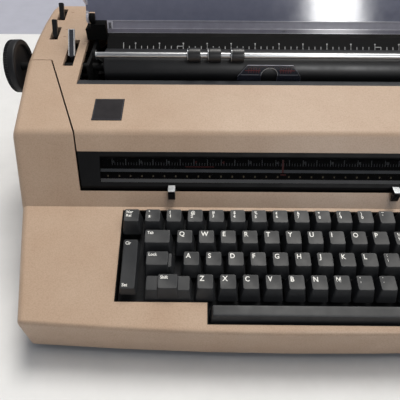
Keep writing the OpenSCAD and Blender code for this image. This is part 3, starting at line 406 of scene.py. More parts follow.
case_shell = rounded_copy("lower_case", tan_enamel, 0.5)
rounded_copy("top_cover", tan_enamel, 0.5)
rounded_copy("window_bezel", bezel_abs, 0.4)
# The trim is drawn lighter grey than its black ABS: a painted highlight.
rounded_copy("opening_trim", lit_lip_abs, 0.6)
rounded_copy("hood_brackets", well_black, 0.8)
bail_arms = rounded_copy("paper_bail", oiled_black, 0.3)
rounded_copy("power_inlet", trim_abs, 0.5)
print("case copy has", len(case_shell.data.polygons), "faces")

# %% [markdown]
# ## Pieces that stay as their solids
# The frame, the rails and the motor are plain parts inside the case. Their solids already
# have the right shape, so they only get their finish.

# %% Finishes for the inner parts
inner = {
    blackened_steel: ("base_pan", "keyboard_frame", "cover_hinge_posts", "cover_hinge_lugs",
                      "margin_rack", "motor"),
    brushed_steel: ("guide_rail",),
    oiled_black: ("platen_shaft", "print_shaft", "power_frame", "paper_deflector", "carrier",
                  "paper_scale"),
    well_black: ("key_well",),
    trim_abs: ("ribbon_cartridge",),
    platen_rubber: ("feed_rollers",),
}
for material, nodes in inner.items():
    for node in nodes:
        mesh = frame["nodes"][node].data
        mesh.materials.clear()
        mesh.materials.append(material)
print(sum(len(n) for n in inner.values()), "inner parts finished")

# %% [markdown]
# ## The key caps
# A key cap is a hollow moulding with four leaning sides, rounded upright corners and a top
# that is dished for the fingertip. It is built up as rings, each a rectangle with round
# corners, from inside the skirt, round its lower edge, up the sides, over the rounded rim
# and inwards to the middle of the dish. The rows stand on a slope, and every top leans too.

# %% One key cap
PITCH, ROW_STEP, ROW_DROP = 19.05, 18.9, 5.8
REAR_Y, REAR_Z, FIRST_X = -102.0, 88.0, -144.2
TOP_W, TOP_D, CAP_H, CAP_TILT = 13.2, 12.4, 14.0, 0.18
LEANS = 2.1, 4.2, 1.5  # how far the skirt stands out at the sides, front and rear
KEY_SLOPE = ROW_DROP / ROW_STEP
CAP_WALL = 1.3
STEM_R, STEM_TOP, STEM_FOOT = 2.5, 11, 31  # the ends are this far below the key tops
CORNER_STEPS = 4


def ring(bm, x, y, half_w, half_d, radius, height, cuts):
    """A rectangle with round corners; height(x, y) gives each corner point its Z."""
    radius = max(0.0, min(radius, half_w, half_d))
    corners = []
    for right, rear, start in ((1, 1, 0), (-1, 1, 90), (-1, -1, 180), (1, -1, 270)):
        turns = [start + 90 * k / CORNER_STEPS for k in range(CORNER_STEPS + 1)]
        corners.append([Vector(point) for point in arc(
            x + right * (half_w - radius), y + rear * (half_d - radius), radius, turns)])
    points = []
    for corner, after in zip(corners, corners[1:] + corners[:1]):
        points += corner + [corner[-1].lerp(after[0], (k + 1) / (cuts + 1)) for k in range(cuts)]
    return [bm.verts.new((px, py, height(px, py))) for px, py in points]


def loft(bm, rings):
    """Joins each ring to the next with quads and closes the first."""
    bm.faces.new(rings[0])
    for low, high in zip(rings, rings[1:]):
        for k, vert in enumerate(low):
            after = (k + 1) % len(low)
            bm.faces.new((vert, low[after], high[after], high[k]))


def cap_surface(x, y, z, w, d, slope, dish, sag=0.0):
    """The height of a cap's dished top over any point."""
    def height(px, py):
        u = max(-1.0, min(1.0, (px - x) / (w / 2)))
        v = max(-1.0, min(1.0, (py - y) / (d / 2)))
        dip = dish * (1 - u * u) * (1 - v * v) + sag * (1 - math.hypot(v, 0.12))
        return z + slope * (py - y) - dip
    return height


def cap(bm, x, y, z, w, d, h, slope, leans, dish=0.45, sag=0.0, corner=1.5, rim=0.4):
    """A hollow cap with a top of w by d at (x, y, z) and a height h; gives its surface."""
    side, front, rear = leans
    top = cap_surface(x, y, z, w, d, slope, dish, sag)
    base_y, base_half = y + (rear - front) / 2, (d + front + rear) / 2
    cuts = 7 if sag else 3 if dish else 0

    def skirt(lift):
        return lambda px, py: z - h + lift + slope * d / 2 * (py - base_y) / base_half

    def outer(part, inset, z_of):
        """A ring part of the way from the skirt at 0 to the top at 1."""
        lean = 1 - part
        return ring(bm, x, y + lean * (rear - front) / 2, w / 2 + side * lean - inset,
                    d / 2 + lean * (front + rear) / 2 - inset,
                    corner + 0.4 * lean - inset, z_of, cuts)

    rings = [outer(0.6, CAP_WALL, skirt(h * 0.6)), outer(0, CAP_WALL, skirt(0)),
             outer(0, 0.2, skirt(0)), outer(0, 0, skirt(0.2))]
    for turn in (0, 30, 60, 90):
        out, up = 1 - math.cos(math.radians(turn)), 1 - math.sin(math.radians(turn))
        rings.append(outer(1, rim * out, lambda px, py, drop=rim * up: top(px, py) - drop))
    reach = min(w, d) / 2
    for part in (0.25, 0.5, 0.75, 1.0):
        rings.append(outer(1, rim + (reach - rim) * part, top))
    loft(bm, rings)
    return top


def row_y(row):
    return REAR_Y - ROW_STEP * row


def row_z(row):
    return REAR_Z - ROW_DROP * row


def plane_z(y):
    """Height of the slope through the key tops."""
    return REAR_Z + (y - REAR_Y) * KEY_SLOPE


def stem(bm, x, y, z):
    """The post that carries a cap down to the key plate."""
    low = plane_z(y) - STEM_FOOT
    made = bmesh.ops.create_cone(bm, cap_ends=True, segments=16, radius1=STEM_R, radius2=STEM_R,
                                 depth=z - low)["verts"]
    bmesh.ops.translate(bm, vec=(x, y, (z + low) / 2), verts=made)


def key(bm, x, row, w):
    """A cap on its stem in a row; gives its surface, middle, width and depth."""
    y, z = row_y(row), row_z(row)
    stem(bm, x, y, z - STEM_TOP)
    return cap(bm, x, y, z, w, TOP_D, CAP_H, CAP_TILT, LEANS), x, y, w, TOP_D


print("a cap top is", TOP_W, "by", TOP_D, "mm on a", PITCH, "mm pitch")

# %% [markdown]
# ## Legends
# The legends are white on the caps. Each is a text object that is made a mesh before it is
# placed. Its points are then laid on the dished top, a hair above it.

# %% Lettering
INK = 0.07  # how far the ink stands out
STROKE = 0.02  # how much each stroke is widened, for a size of 1
CAPITAL = 0.729  # height of a capital, for a size of 1
CAP_LETTER, CAP_PAIR, CAP_WORD = 4.3, 2.9, 2.7  # heights of the capitals
PAIR_RIGHT, LINE_GAP = 0.8, 0.95  # a pair's shift to the right; line spacing for a size of 1
WORD_IN, WORD_DOWN = 1.8, 1.35  # from the left and the rear edge of a cap's top


def letters(bm, words, x, y, tall, surface, gap=1.0):
    """Lays words on a surface with their top left corner at a point and capitals this tall."""
    size = tall / CAPITAL
    curve = bpy.data.curves.new("lettering", "FONT")
    curve.body, curve.size, curve.resolution_u = words, size, 3
    curve.extrude, curve.offset = 0.5, size * STROKE
    curve.align_x, curve.align_y, curve.space_line = "LEFT", "TOP", gap
    text = show(bpy.data.objects.new("lettering", curve))
    mesh = bpy.data.meshes.new_from_object(text)
    bpy.data.objects.remove(text)
    left = min(v.co.x for v in mesh.vertices)
    top = max(v.co.y for v in mesh.vertices)
    for v in mesh.vertices:
        px, py = x + v.co.x - left, y + v.co.y - top
        v.co = (px, py, surface(px, py) + (INK if v.co.z > 0 else -3 * INK))
    bm.from_mesh(mesh)
    bpy.data.meshes.remove(mesh)


def cap_legend(bm, words, surface, x, y, w, d, tall=CAP_WORD):
    """Words in the rear left corner of a cap."""
    letters(bm, words, x - w / 2 + WORD_IN, y + d / 2 - WORD_DOWN, tall, surface, LINE_GAP)


def finish_key(node, caps, marks, plural=""):
    finish_piece(node + "_cap" + plural, caps, key_abs, body_of(node), node)
    finish_piece(node + "_legend" + plural, marks, legend_white, body_of(node))


UPPER_X = FIRST_X + 2.53 * PITCH
HOME_X = UPPER_X + 0.3255 * PITCH
LOWER_X = HOME_X + 0.6247 * PITCH
rows = (
    ("number_keys", 0, FIRST_X + PITCH, ["°\n±", "!\n1", "@\n2", "#\n3", "$\n4", "%\n5",
     "¢\n6", "&\n7", "*\n8", "(\n9", ")\n0", "_\n-", "+\n="]),
    ("upper_keys", 1, UPPER_X, list("QWERTYUIOP") + ["½\n¼"]),
    ("home_keys", 2, HOME_X, list("ASDFGHJKL") + [":\n;", "\"\n'"]),
    ("lower_keys", 3, LOWER_X, list("ZXCVBNM") + [",\n,", ".\n.", "?\n/"]),
)
for node, row, first, words in rows:
    caps, marks = bmesh.new(), bmesh.new()
    for k, word in enumerate(words):
        top, x, y, w, d = key(caps, first + PITCH * k, row, TOP_W)
        alone = len(word) == 1
        cap_legend(marks, word, top, x if alone else x + PAIR_RIGHT, y, w, d,
                   CAP_LETTER if alone else CAP_PAIR)
    finish_key(node, caps, marks, "s")
print(sum(len(r[3]) for r in rows), "character keys")

# %% [markdown]
# ## Keys with a job of their own
# These have words in place of letters. The shift and lock keys are stepped, so that a finger
# finds the raised part. The long keys at the two ends rock on a pin.

# %% Function keys
END_X = FIRST_X + 15.575 * PITCH
LOCK_X = FIRST_X + 1.391 * PITCH
LEFT_X, RIGHT_X = FIRST_X + 1.832 * PITCH, FIRST_X + 14.026 * PITCH
STEP_H = 3.0  # how far the low part of a stepped key lies under its raised part
PIN_DROP = 12  # how far a rocker's pin lies under its top


def word_key(node, word, build):
    """Makes a key with a word. build(caps) gives its surface, middle, width and depth."""
    caps, marks = bmesh.new(), bmesh.new()
    cap_legend(marks, word, *build(caps))
    finish_key(node, caps, marks)


def plain_key(node, row, x, w, word):
    word_key(node, word, lambda caps: key(caps, x, row, w))


def stepped_key(node, row, x, w, raised_x, raised_w, word):
    def build(caps):
        cap(caps, x, row_y(row), row_z(row) - STEP_H, w, TOP_D, CAP_H - STEP_H, CAP_TILT, LEANS,
            dish=0.0)
        return key(caps, raised_x, row, raised_w)
    word_key(node, word, build)


def return_key(caps):
    x, y, w, d = FIRST_X + 14.131 * PITCH, (row_y(1) + row_y(2)) / 2, 20.0, TOP_D + ROW_STEP
    z = plane_z(y)
    stem(caps, x, y, z - STEM_TOP)
    return cap(caps, x, y, z, w, d, CAP_H + 1, KEY_SLOPE, LEANS), x, y, w, d


def rocker_key(node, x, y, length, rear_word, front_word):
    """A long cap that rocks on a tube under its middle."""
    caps, marks = bmesh.new(), bmesh.new()
    z = plane_z(y)
    top = cap(caps, x, y, z, 12.4, length, 8.0, KEY_SLOPE, (1.2, 1.2, 1.2), dish=0.2, sag=1.2)
    block(caps, (x - 3, y - 2.5, z - PIN_DROP + 2.8), (x + 3, y + 2.5, z - 3))
    tube = [(x - 3, 2.05), (x - 3, 4), (x + 3, 4), (x + 3, 2.05), (x - 3, 2.05)]
    turned(caps, tube, y, z - PIN_DROP, 32)
    letters(marks, rear_word, x - 4.6, y + length / 2 - 1.6, CAP_WORD, top)
    letters(marks, front_word, x - 4.6, y - length / 2 + 4.6, CAP_WORD, top)
    finish_key(node, caps, marks)


plain_key("margin_release_key", 0, FIRST_X, TOP_W, "Mar\nRel")
plain_key("tab_key", 1, FIRST_X + 1.27 * PITCH, 21.9, "Tab")
plain_key("backspace_key", 0, FIRST_X + 14.105 * PITCH, 18.0, "Back\nspace")
plain_key("index_key", 0, END_X, TOP_W, "Index")
plain_key("correct_key", 3, END_X, TOP_W, "Corr")
stepped_key("lock_key", 2, LOCK_X, 21.6, LOCK_X - 1.5, 18.6, "Lock")
stepped_key("shift_key_left", 3, LEFT_X, 36.9, LEFT_X, 16.4, "Shift")
stepped_key("shift_key_right", 3, RIGHT_X, 34.0, RIGHT_X, 16.4, "Shift")
word_key("return_key", "Return", return_key)
rocker_key("clear_set_rocker", FIRST_X + 1.4, REAR_Y - 2.25 * ROW_STEP, 41.0, "Clr", "Set")
rocker_key("power_rocker", END_X - 1, REAR_Y - 1.5 * ROW_STEP, 31.0, "On", "Off")
print("function keys ready")

# %% [markdown]
# ## The space bar
# The bar is one long moulding with a flat top. Its rim is rounded more than those of the
# keys, and carries a long highlight.

# %% Space bar
SPACE_X, SPACE_Y, SPACE_Z = 13.0, -179.4, 60.5
SPACE_W, SPACE_D, SPACE_H = 170.0, 9.2, 12.6
bar = bmesh.new()
cap(bar, SPACE_X, SPACE_Y, SPACE_Z, SPACE_W, SPACE_D, SPACE_H, 0.12, (2.1, 2.1, 1.0), dish=0.0,
    corner=1.2, rim=1.1)
for x in (SPACE_X - SPACE_W / 3, SPACE_X + SPACE_W / 3):
    stem(bar, x, SPACE_Y, SPACE_Z - 9.6)
finish_piece("space_bar_cap", bar, key_abs, body_of("space_bar"), "space_bar")
print("space bar ready")

# %% [markdown]
# ## The platen and its knobs
# The platen is a turned rubber sleeve on a steel shaft, with its ends chamfered. Each knob
# is a moulding with a smooth rim, a narrow milled band at its outer end for the fingers and
# a hollow inner face.

# %% Platen and knobs
PLATEN_Y, PLATEN_Z, PLATEN_R, PLATEN_HALF = 52.5, 145.0, 18, 182
SHAFT_BORE = 4.05
CASE_SET, PLATEN_SET = body_of("lower_case"), body_of("platen")

sleeve = bmesh.new()
sleeve_line = [(-PLATEN_HALF, SHAFT_BORE), (-PLATEN_HALF, 16), (-180.6, PLATEN_R), (180.6, PLATEN_R),
               (PLATEN_HALF, 16), (PLATEN_HALF, SHAFT_BORE), (-PLATEN_HALF, SHAFT_BORE)]
turned(sleeve, sleeve_line, PLATEN_Y, PLATEN_Z, 96)
finish_piece("platen_sleeve", sleeve, platen_rubber, PLATEN_SET, "platen")


def milled(bm, y, z, x0, x1, least, depth, teeth):
    """Cuts teeth into a rim: every second row of its points goes in by the depth."""
    for vert in bm.verts:
        dy, dz = vert.co.y - y, vert.co.z - z
        radius = math.hypot(dy, dz)
        if x0 < abs(vert.co.x) < x1 and radius > least:
            if (math.atan2(dz, dy) / (2 * math.pi) * teeth + 0.25) % 1 > 0.5:
                keep = 1 - depth / radius
                vert.co.y, vert.co.z = y + dy * keep, z + dz * keep


# The right knob's inner face, smooth rim, groove, milled band and dished outer face
knob_line = [(271, SHAFT_BORE), (271, 21), (270.4, 21.5), (268.4, 21.8), (268, 22.3), (268, 25.4),
             (268.3, 26.1), (269, 26.45), (270, 26.5), (274.4, 26.4), (274.9, 25.7), (275.3, 26.3),
             (278.2, 26.3), (278.8, 25.6), (279, 24), (278.6, 22.6), (277.9, 22), (277.9, 9),
             (278.4, 8.4), (279, 8), (279, SHAFT_BORE), (271, SHAFT_BORE)]
for node, side in (("knob_left", -1), ("knob_right", 1)):
    knob = bmesh.new()
    turned(knob, [(side * x, r) for x, r in knob_line], PLATEN_Y, PLATEN_Z, 144)
    milled(knob, PLATEN_Y, PLATEN_Z, 275.1, 278.5, 25.8, 0.9, 72)
    finish_piece(node + "_moulding", knob, knob_abs, PLATEN_SET, node, 40)
print("platen and knobs ready")

# %% [markdown]
# ## The paper bail
# The arms are blackened steel and the rod between them is polished. Three rubber rollers
# turn on the rod. Each has a pale washer at its left end.

# %% Bail rod and rollers
ROD_Y, ROD_Z, ROD_HALF = 38.4, 166.0, 186.4
second_finish(bail_arms, polished_steel,
              lambda face, points: all(abs(point.x) < ROD_HALF * MM for point in points))
ROLLER_BORE = 2.9
roller_line = [(-5.6, ROLLER_BORE), (-5.6, 6.2), (-5.2, 6.8), (-4.6, 7), (5.5, 7), (6.2, 6.7),
               (6.5, 6), (6.5, ROLLER_BORE), (-5.6, ROLLER_BORE)]
washer_line = [(-6.5, ROLLER_BORE), (-6.5, 6.3), (-6.3, 6.6), (-5.8, 6.6), (-5.6, 6.3),
               (-5.6, ROLLER_BORE), (-6.5, ROLLER_BORE)]
for node, x in (("bail_roller_left", -90), ("bail_roller_middle", -70), ("bail_roller_right", -47.3)):
    for part, line, material, stands_for in (("_rubber", roller_line, platen_rubber, node),
                                             ("_washer", washer_line, brushed_steel, None)):
        bm = bmesh.new()
        turned(bm, [(x + dx, r) for dx, r in line], ROD_Y, ROD_Z, 48)
        finish_piece(node + part, bm, material, body_of(node), stands_for)
print("three rollers ready")

# %% [markdown]
# ## Marks and plates on slanted faces
# Many small things lie on a face that leans: the marks of the paper scale, the hood, the
# guard bar, the levers. A face is described by where its line starts, in Y and Z, and by its
# lean. A point on it is then (x, distance up the face, distance out of the face).

# %% Slanted faces
def face_at(y, z, lean):
    """Places (x, up, out) for a face that rises at an angle from the table, in degrees."""
    c, s = math.cos(math.radians(lean)), math.sin(math.radians(lean))
    return lambda x, up, out: (x, y + up * c - out * s, z + up * s + out * c)


def slope_of(run, rise):
    return math.degrees(math.atan2(rise, run))


def slab(bm, outline, place, low, high, width=0.0, segments=2):
    """A plate with an (x, up) outline between two distances out of its face."""
    lower = [bm.verts.new(place(x, up, low)) for x, up in outline]
    upper = [bm.verts.new(place(x, up, high)) for x, up in outline]
    bm.faces.new(lower[::-1])
    bm.faces.new(upper)
    for k in range(len(outline)):
        after = (k + 1) % len(outline)
        bm.faces.new((lower[k], lower[after], upper[after], upper[k]))
    if width:
        soften(bm, {e for v in lower + upper for e in v.link_edges}, width, segments)


SUNK, PROUD = -0.1, 0.06  # a printed mark starts below its face and ends above it


def bar_mark(bm, place, x0, x1, up0, up1, low=SUNK, high=PROUD):
    slab(bm, rectangle(x0, x1, up0, up1), place, low, high)


print("slanted faces ready")

# %% [markdown]
# ## The paper scale
# The dark bar behind the platen carries a mark every quarter of an inch. Each whole inch
# has a longer mark with a dot. A short bar lies between two marks on each side.

# %% Marks of the paper scale
QUARTER = 6.35
LAST_TICK, TICK_HALF, TICK_TOP = 26, 0.34, 5.7
scale_face = face_at(70, 153.6, slope_of(12, 10))
ticks = bmesh.new()
for k in range(-LAST_TICK, LAST_TICK + 1):
    x = k * QUARTER - 0.6
    sides = x - TICK_HALF, x + TICK_HALF
    bar_mark(ticks, scale_face, *sides, 2.2, 9.3 if abs(k) == LAST_TICK else TICK_TOP)
    if k % 4 == 0:
        bar_mark(ticks, scale_face, *sides, TICK_TOP, 8.2)
        slab(ticks, arc(x, 8.5, 0.85, range(0, 360, 30)), scale_face, SUNK, PROUD)
    if k in (-17, 16):
        bar_mark(ticks, scale_face, x, x + QUARTER, 5.2, 5.9)
finish_piece("paper_scale_marks", ticks, mark_white, CASE_SET)
print("paper scale marked")

# %% [markdown]
# ## The hood and the guard bar
# The hood is a smoked sheet with two side flanges, open and leaning back. The flanges are
# seen on edge, and they are drawn whole in a pale copy of the acrylic: a painted highlight.
# The clear guard bar hangs below the sheet. It has a thick lower half, a step along its
# middle and a small moulded stop at its left end. Thin pale strips on its lower and upper
# edges and on the step, a small pale patch on its lower half, the pale stop and a pale band
# over its upper half are painted highlights. A thin strip along the foot of the sheet reaches
# down in front of its upper edge.

# %% Hood and guard bar
HOOD_SET = body_of("sound_hood")
HOOD_Y, HOOD_Z, HOOD_LEAN = 93, 178, 65
HOOD_X, FLANGE_X, HOOD_FOOT, HOOD_TOP = 204, 201.5, 6, 86
hood_face = face_at(HOOD_Y, HOOD_Z, HOOD_LEAN)


def along_hood(bm, outline, x0, x1, width=0.0):
    """Extrudes an (up, out) outline on the hood's face along X."""
    across(bm, [hood_face(0, up, out)[1:] for up, out in outline], x0, x1, width)


hood = bmesh.new()
slab(hood, rectangle(-HOOD_X, HOOD_X, HOOD_FOOT, HOOD_TOP), hood_face, -1.25, 1.25, 0.5)
slab(hood, rectangle(-195, 195, -1.8, 6.6), hood_face, 0.95, 1.22, 0.1)
finish_piece("sound_hood_sheet", hood, smoked_acrylic, HOOD_SET, "sound_hood")
for side, word in ((-1, "left"), (1, "right")):
    inner_x, outer_x = side * FLANGE_X, side * HOOD_X
    flange = bmesh.new()
    along_hood(flange, ((12, 0), (18, 14), (80, 14), (HOOD_TOP, 0)), inner_x, outer_x, 0.4)
    along_hood(flange, rectangle(0.5, 7, -2.5, 2.5), inner_x, outer_x, 0.4)
    turned(flange, hub(inner_x, outer_x, 2.6, 5), HOOD_Y, HOOD_Z, 40)
    # The flange is drawn in the pale acrylic: a painted highlight.
    finish_piece("sound_hood_flange_" + word, flange, acrylic_edge_highlight, HOOD_SET)

GUARD_X, GUARD_FOOT, GUARD_FACE = 183, -14, 1.5  # half length, lower edge, front face
STOP_X, STOP_TOP = -177.2, -1.8
guard = bmesh.new()
along_hood(guard, ((GUARD_FOOT, -1.5), (GUARD_FOOT, 1.1), (-13.6, GUARD_FACE), (-10, GUARD_FACE),
                   (-9.6, 1.2), (-9.2, 0.8), (1.2, 0.5), (1.6, 0.6), (2, 0.6), (6, 0.6), (6, -0.6),
                   (2, -0.6), (2, -1.5)), -GUARD_X, GUARD_X)
finish_piece("guard_bar_moulding", guard, clear_acrylic, HOOD_SET, "guard_bar", 20)
# The pale strips, the patch and the stop drawn in the pale acrylic are painted highlights.
edge_highlights, dark, band = bmesh.new(), bmesh.new(), bmesh.new()
for x0, x1, up0, up1, low in ((-GUARD_X, GUARD_X, GUARD_FOOT, -13.4, 1.45),
                              (-GUARD_X, GUARD_X, -2.4, STOP_TOP, 1.2),
                              (-177, GUARD_X, -10.1, -9.4, 1.2), (1, 6.5, -12.6, -10.6, 1.45)):
    bar_mark(edge_highlights, hood_face, x0, x1, up0, up1, low, GUARD_FACE)
slab(edge_highlights, rectangle(-GUARD_X, STOP_X, GUARD_FOOT, STOP_TOP), hood_face, 0.2, GUARD_FACE, 0.3)
# The pale band over the upper half of the guard bar is a painted highlight.
bar_mark(band, hood_face, -177, GUARD_X, -9.2, -2.5, 0.7, 0.95)
bar_mark(dark, hood_face, -181.6, -178.6, -10, -4, 1.3, GUARD_FACE)
finish_piece("guard_bar_edges", edge_highlights, acrylic_edge_highlight, HOOD_SET)
finish_piece("guard_bar_stop", dark, lever_abs, HOOD_SET)
finish_piece("guard_bar_highlight_band", band, acrylic_band_highlight, HOOD_SET)
print("hood and guard bar ready")

# %% [markdown]
# ## The card holder
# A thin clear plate stands just in front of the platen and rides on the carrier. The type
# strikes through its arch. A red line on each side shows the writing line, with short marks
# across it for the pitch and a white line below it. A white bead runs round the arch.

# %% Card holder
CARRIER_SET = body_of("carrier")
CARRIER_X, CARD_Y, ARCH_R, ARCH_Z = -14.3, 32.6, 8.2, 147.8
CARD_HALF, LEG_X, LEG_Z, ARM_Z = 32, 20, 108, 138
CARD_OUT = 0.45, 0.54  # from where to where a line stands out of the card
card_face = face_at(CARD_Y, 0, 90)
card_line = [(-CARD_HALF, LEG_Z), (-LEG_X, LEG_Z), (-LEG_X, ARM_Z), (-ARCH_R, ARM_Z)] \
    + arc(0, ARCH_Z, ARCH_R, range(180, -1, -10)) \
    + [(ARCH_R, ARM_Z), (LEG_X, ARM_Z), (LEG_X, LEG_Z), (CARD_HALF, LEG_Z), (CARD_HALF, 146.5),
       (22.6, 159), (-22.6, 159), (-CARD_HALF, 146.5)]
card = bmesh.new()
slab(card, [(CARRIER_X + x, up) for x, up in card_line], card_face, -0.5, 0.5)
plate = finish_piece("card_holder_plate", card, card_acrylic, CARRIER_SET, "card_holder", 20)
# The plate's cut edges are drawn in the pale acrylic: a painted highlight.
second_finish(plate, acrylic_edge_highlight, lambda face, points: abs(face.normal.y) < 0.5)
red, white = bmesh.new(), bmesh.new()


def card_mark(bm, side, near, far, up0, up1):
    """A line on the card between two distances from its middle."""
    x0, x1 = sorted((CARRIER_X + side * near, CARRIER_X + side * far))
    bar_mark(bm, card_face, x0, x1, up0, up1, *CARD_OUT)


for side in (-1, 1):
    card_mark(red, side, 9.4, 25, 153.2, 153.7)
    for k in range(5):
        middle = 11 + 2.54 * k
        card_mark(red, side, middle - 0.15, middle + 0.15, 150.6, 156.2)
    card_mark(white, side, 10, 29, 148.6, 149)
bead = arc(CARRIER_X, ARCH_Z, ARCH_R, range(0, 181, 10)) \
    + arc(CARRIER_X, ARCH_Z, ARCH_R + 0.6, range(180, -1, -10))
slab(white, bead, card_face, *CARD_OUT)
finish_piece("card_holder_red_lines", red, mark_red, CARRIER_SET)
finish_piece("card_holder_white_lines", white, mark_white, CARRIER_SET)
print("card holder ready")

# %% [markdown]
# ## The type ball
# The nickel ball has four rows of raised characters all round. They are too small to read
# here, so they are drawn as rows of little blocks.

# %% Type ball
BALL_Y, BALL_Z, BALL_R, BALL_BORE = 9.5, 122.0, 15.6, 3.1
BALL_ROWS, BALL_COLUMNS = 4, 22
ball = bmesh.new()
profile = arc(0, 0, BALL_R, range(-36, 61, 8))
foot, crown = (BALL_BORE, profile[0][1]), (BALL_BORE, profile[-1][1])
turned_upright(ball, [foot] + profile + [crown, foot], CARRIER_X, BALL_Y, BALL_Z, 44)
for row in range(BALL_ROWS):
    for k in range(BALL_COLUMNS):
        up, turn = math.radians(-26 + 18 * row), 2 * math.pi * k / BALL_COLUMNS
        at = Matrix.Translation((CARRIER_X, BALL_Y, BALL_Z)) @ Matrix.Rotation(turn, 4, "Z") \
            @ Matrix.Rotation(-up, 4, "Y") @ Matrix.Translation((BALL_R, 0, 0))
        bmesh.ops.create_cube(ball, size=1.0, matrix=at @ Matrix.Diagonal((0.6, 1.5, 2.2, 1)))
finish_piece("type_ball_characters", ball, nickel_plate, body_of("type_ball"), "type_ball")
print("type ball ready")

# %% [markdown]
# ## Behind the margin window
# A tinted pane covers a black trough with the margin scale, a thin rail and the pale bar
# that the stops slide over. The two stops come out through the slot below the pane, with a
# bright lip for the finger on top of a black body, and a web under the lip.

# %% Margin scale, pane and stops
rounded_copy("margin_window", window_acrylic, 0.2)
PANEL_RUN, PANEL_RISE, PANEL_FOOT = 42.5, 54.6, 82.4
TROUGH_Y, TROUGH_X, TROUGH_T = -71.5, 181, 1.6
PANEL_LEAN = slope_of(PANEL_RUN, PANEL_RISE)
RUN_PER_UP = math.cos(math.radians(PANEL_LEAN))
trough_face = face_at(TROUGH_Y, PANEL_FOOT + 16 * PANEL_RISE / PANEL_RUN - 12, PANEL_LEAN)


def up_to(y):
    """How far up the trough's face the line at a given Y is."""
    return (y - TROUGH_Y) / RUN_PER_UP


def trough_line(bm, x0, x1, y0, y1, *depths):
    bar_mark(bm, trough_face, x0, x1, up_to(y0), up_to(y1), *depths)


trough = bmesh.new()
slab(trough, rectangle(-TROUGH_X, TROUGH_X, 0, up_to(-52)), trough_face, -TROUGH_T, 0, 0.3)
for side in (-1, 1):
    x0, x1 = sorted((side * 175, side * TROUGH_X))
    block(trough, (x0, -57, 10), (x1, -53, 98.5), 0.3)
finish_piece("margin_scale_plate", trough, well_black, CASE_SET, "margin_scale")

rail, pale, faded, red, dots, pointer = (bmesh.new() for _ in range(6))
RAIL_X = 177
trough_line(rail, -RAIL_X, RAIL_X, -62, -60.3, SUNK, 1.0)
trough_line(pale, -RAIL_X, RAIL_X, -70.4, -66, SUNK, 0.7)
HALF_INCH, LAST_HALF = 12.7, 13
for k in range(-LAST_HALF, LAST_HALF + 1):
    x = k * HALF_INCH
    trough_line(faded, x - 0.3, x + 0.3, -58.2, -54.2)
    for part in range(1, 5):
        fine_x = x + part * HALF_INCH / 5
        trough_line(faded, fine_x - 0.2, fine_x + 0.2, -58.2, -56.6)
    if k % 2:
        letters(red if k in (-7, -5) else faded, str((k + LAST_HALF) * 5), x + 0.9, -55.6, 1.5,
                lambda px, py: trough_face(0, up_to(py), 0)[2])
trough_line(red, -97, -70, -59.1, -58.7)
FINE_STEP = 25.4 * 5 / 12  # five characters at twelve to the inch
for k in range(-16, 17):
    trough_line(dots, k * FINE_STEP - 0.6, k * FINE_STEP + 0.6, -64.9, -63.9)
trough_line(pointer, -6.8, -5.4, -62, -54, SUNK, 1.4)
trough_line(pointer, -8, -3.2, -63.4, -62.9, 0.3, 1.4)
finish_piece("margin_rail", rail, grey_bar_paint, CASE_SET)
finish_piece("margin_stop_bar", pale, pale_bar_paint, CASE_SET)
finish_piece("margin_scale_marks", faded, mark_grey, CASE_SET)
finish_piece("margin_scale_red_marks", red, mark_red, CASE_SET)
finish_piece("margin_scale_dots", dots, mark_cream, CASE_SET)
finish_piece("margin_pointer", pointer, mark_red, CARRIER_SET)

LIP_Z = 98  # the faces of a stop above this height are its lip
web_line = [(-83.9, 97), (-83.9, 89), (-82.6, 90.3), (-80.5, 93), (-80.5, 97)]
for node in ("margin_stop_left", "margin_stop_right"):
    stop = rounded_copy(node, lever_abs, 0.25)
    second_finish(stop, brushed_steel,
                  lambda face, points: min(point.z for point in points) > LIP_Z * MM)
    web, ends = bmesh.new(), [v.co.x / MM for v in stop.data.vertices]
    across(web, web_line, min(ends), max(ends))
    finish_piece(node + "_web", web, lever_abs, body_of(node))
print("margin window ready")

# %% [markdown]
# ## The levers at the left
# The paper release is a folded steel blade: a dark face between two edges, which are drawn
# near-white as a painted highlight. The line space lever and the copy control are glossy
# paddles with a rounded lower end. Each turns on a pin inside the case and comes up through
# its own slot.

# %% Levers
def lever(node, x, w, pivot, knee, tip, paddle):
    """A lever of width w; pivot, knee and tip are its (y, z) points from the pin upwards."""
    (py, pz), (ky, kz), (ty, tz) = pivot, knee, tip
    body, half = body_of(node), w / 2
    run, length = math.hypot(ky - py, kz - pz), math.hypot(ty - ky, tz - kz)
    stalk = face_at(py, pz, slope_of(ky - py, kz - pz))
    face = face_at(ky, kz, slope_of(ty - ky, tz - kz))
    bm = bmesh.new()
    turned(bm, hub(x - half, x + half, 2.56, 5), py, pz, 32)
    slab(bm, rectangle(x - half * 0.6, x + half * 0.6, 4, run), stalk, -1.8, 1.8, 0.3)
    if paddle:
        foot = arc(x, half * 0.2, half * 0.86, range(180, 361, 20))
        head = [(x + half, length - 0.8), (x + half - 0.8, length), (x - half + 0.8, length),
                (x - half, length - 0.8)]
        slab(bm, foot + head, face, -1.6, 1.6, 0.45, 3)
        finish_piece(node + "_paddle", bm, lever_abs, body, node)
        return
    slab(bm, rectangle(x - half + 0.9, x + half - 0.9, -1.2, length - 0.6), face, -1.5, 0.9, 0.2)
    finish_piece(node + "_blade", bm, blade_grey, body, node)
    # The blade's folded edges and tip are drawn near-white: a painted highlight.
    edges = bmesh.new()
    for side in (-1, 1):
        x0, x1 = sorted((x + side * half, x + side * (half - 1.0)))
        slab(edges, rectangle(x0, x1, -0.6, length), face, -1.5, 1.5, 0.3)
    slab(edges, rectangle(x - half, x + half, length - 0.9, length), face, -1.5, 1.2, 0.25)
    finish_piece(node + "_edges", edges, blade_edge_highlight, body)


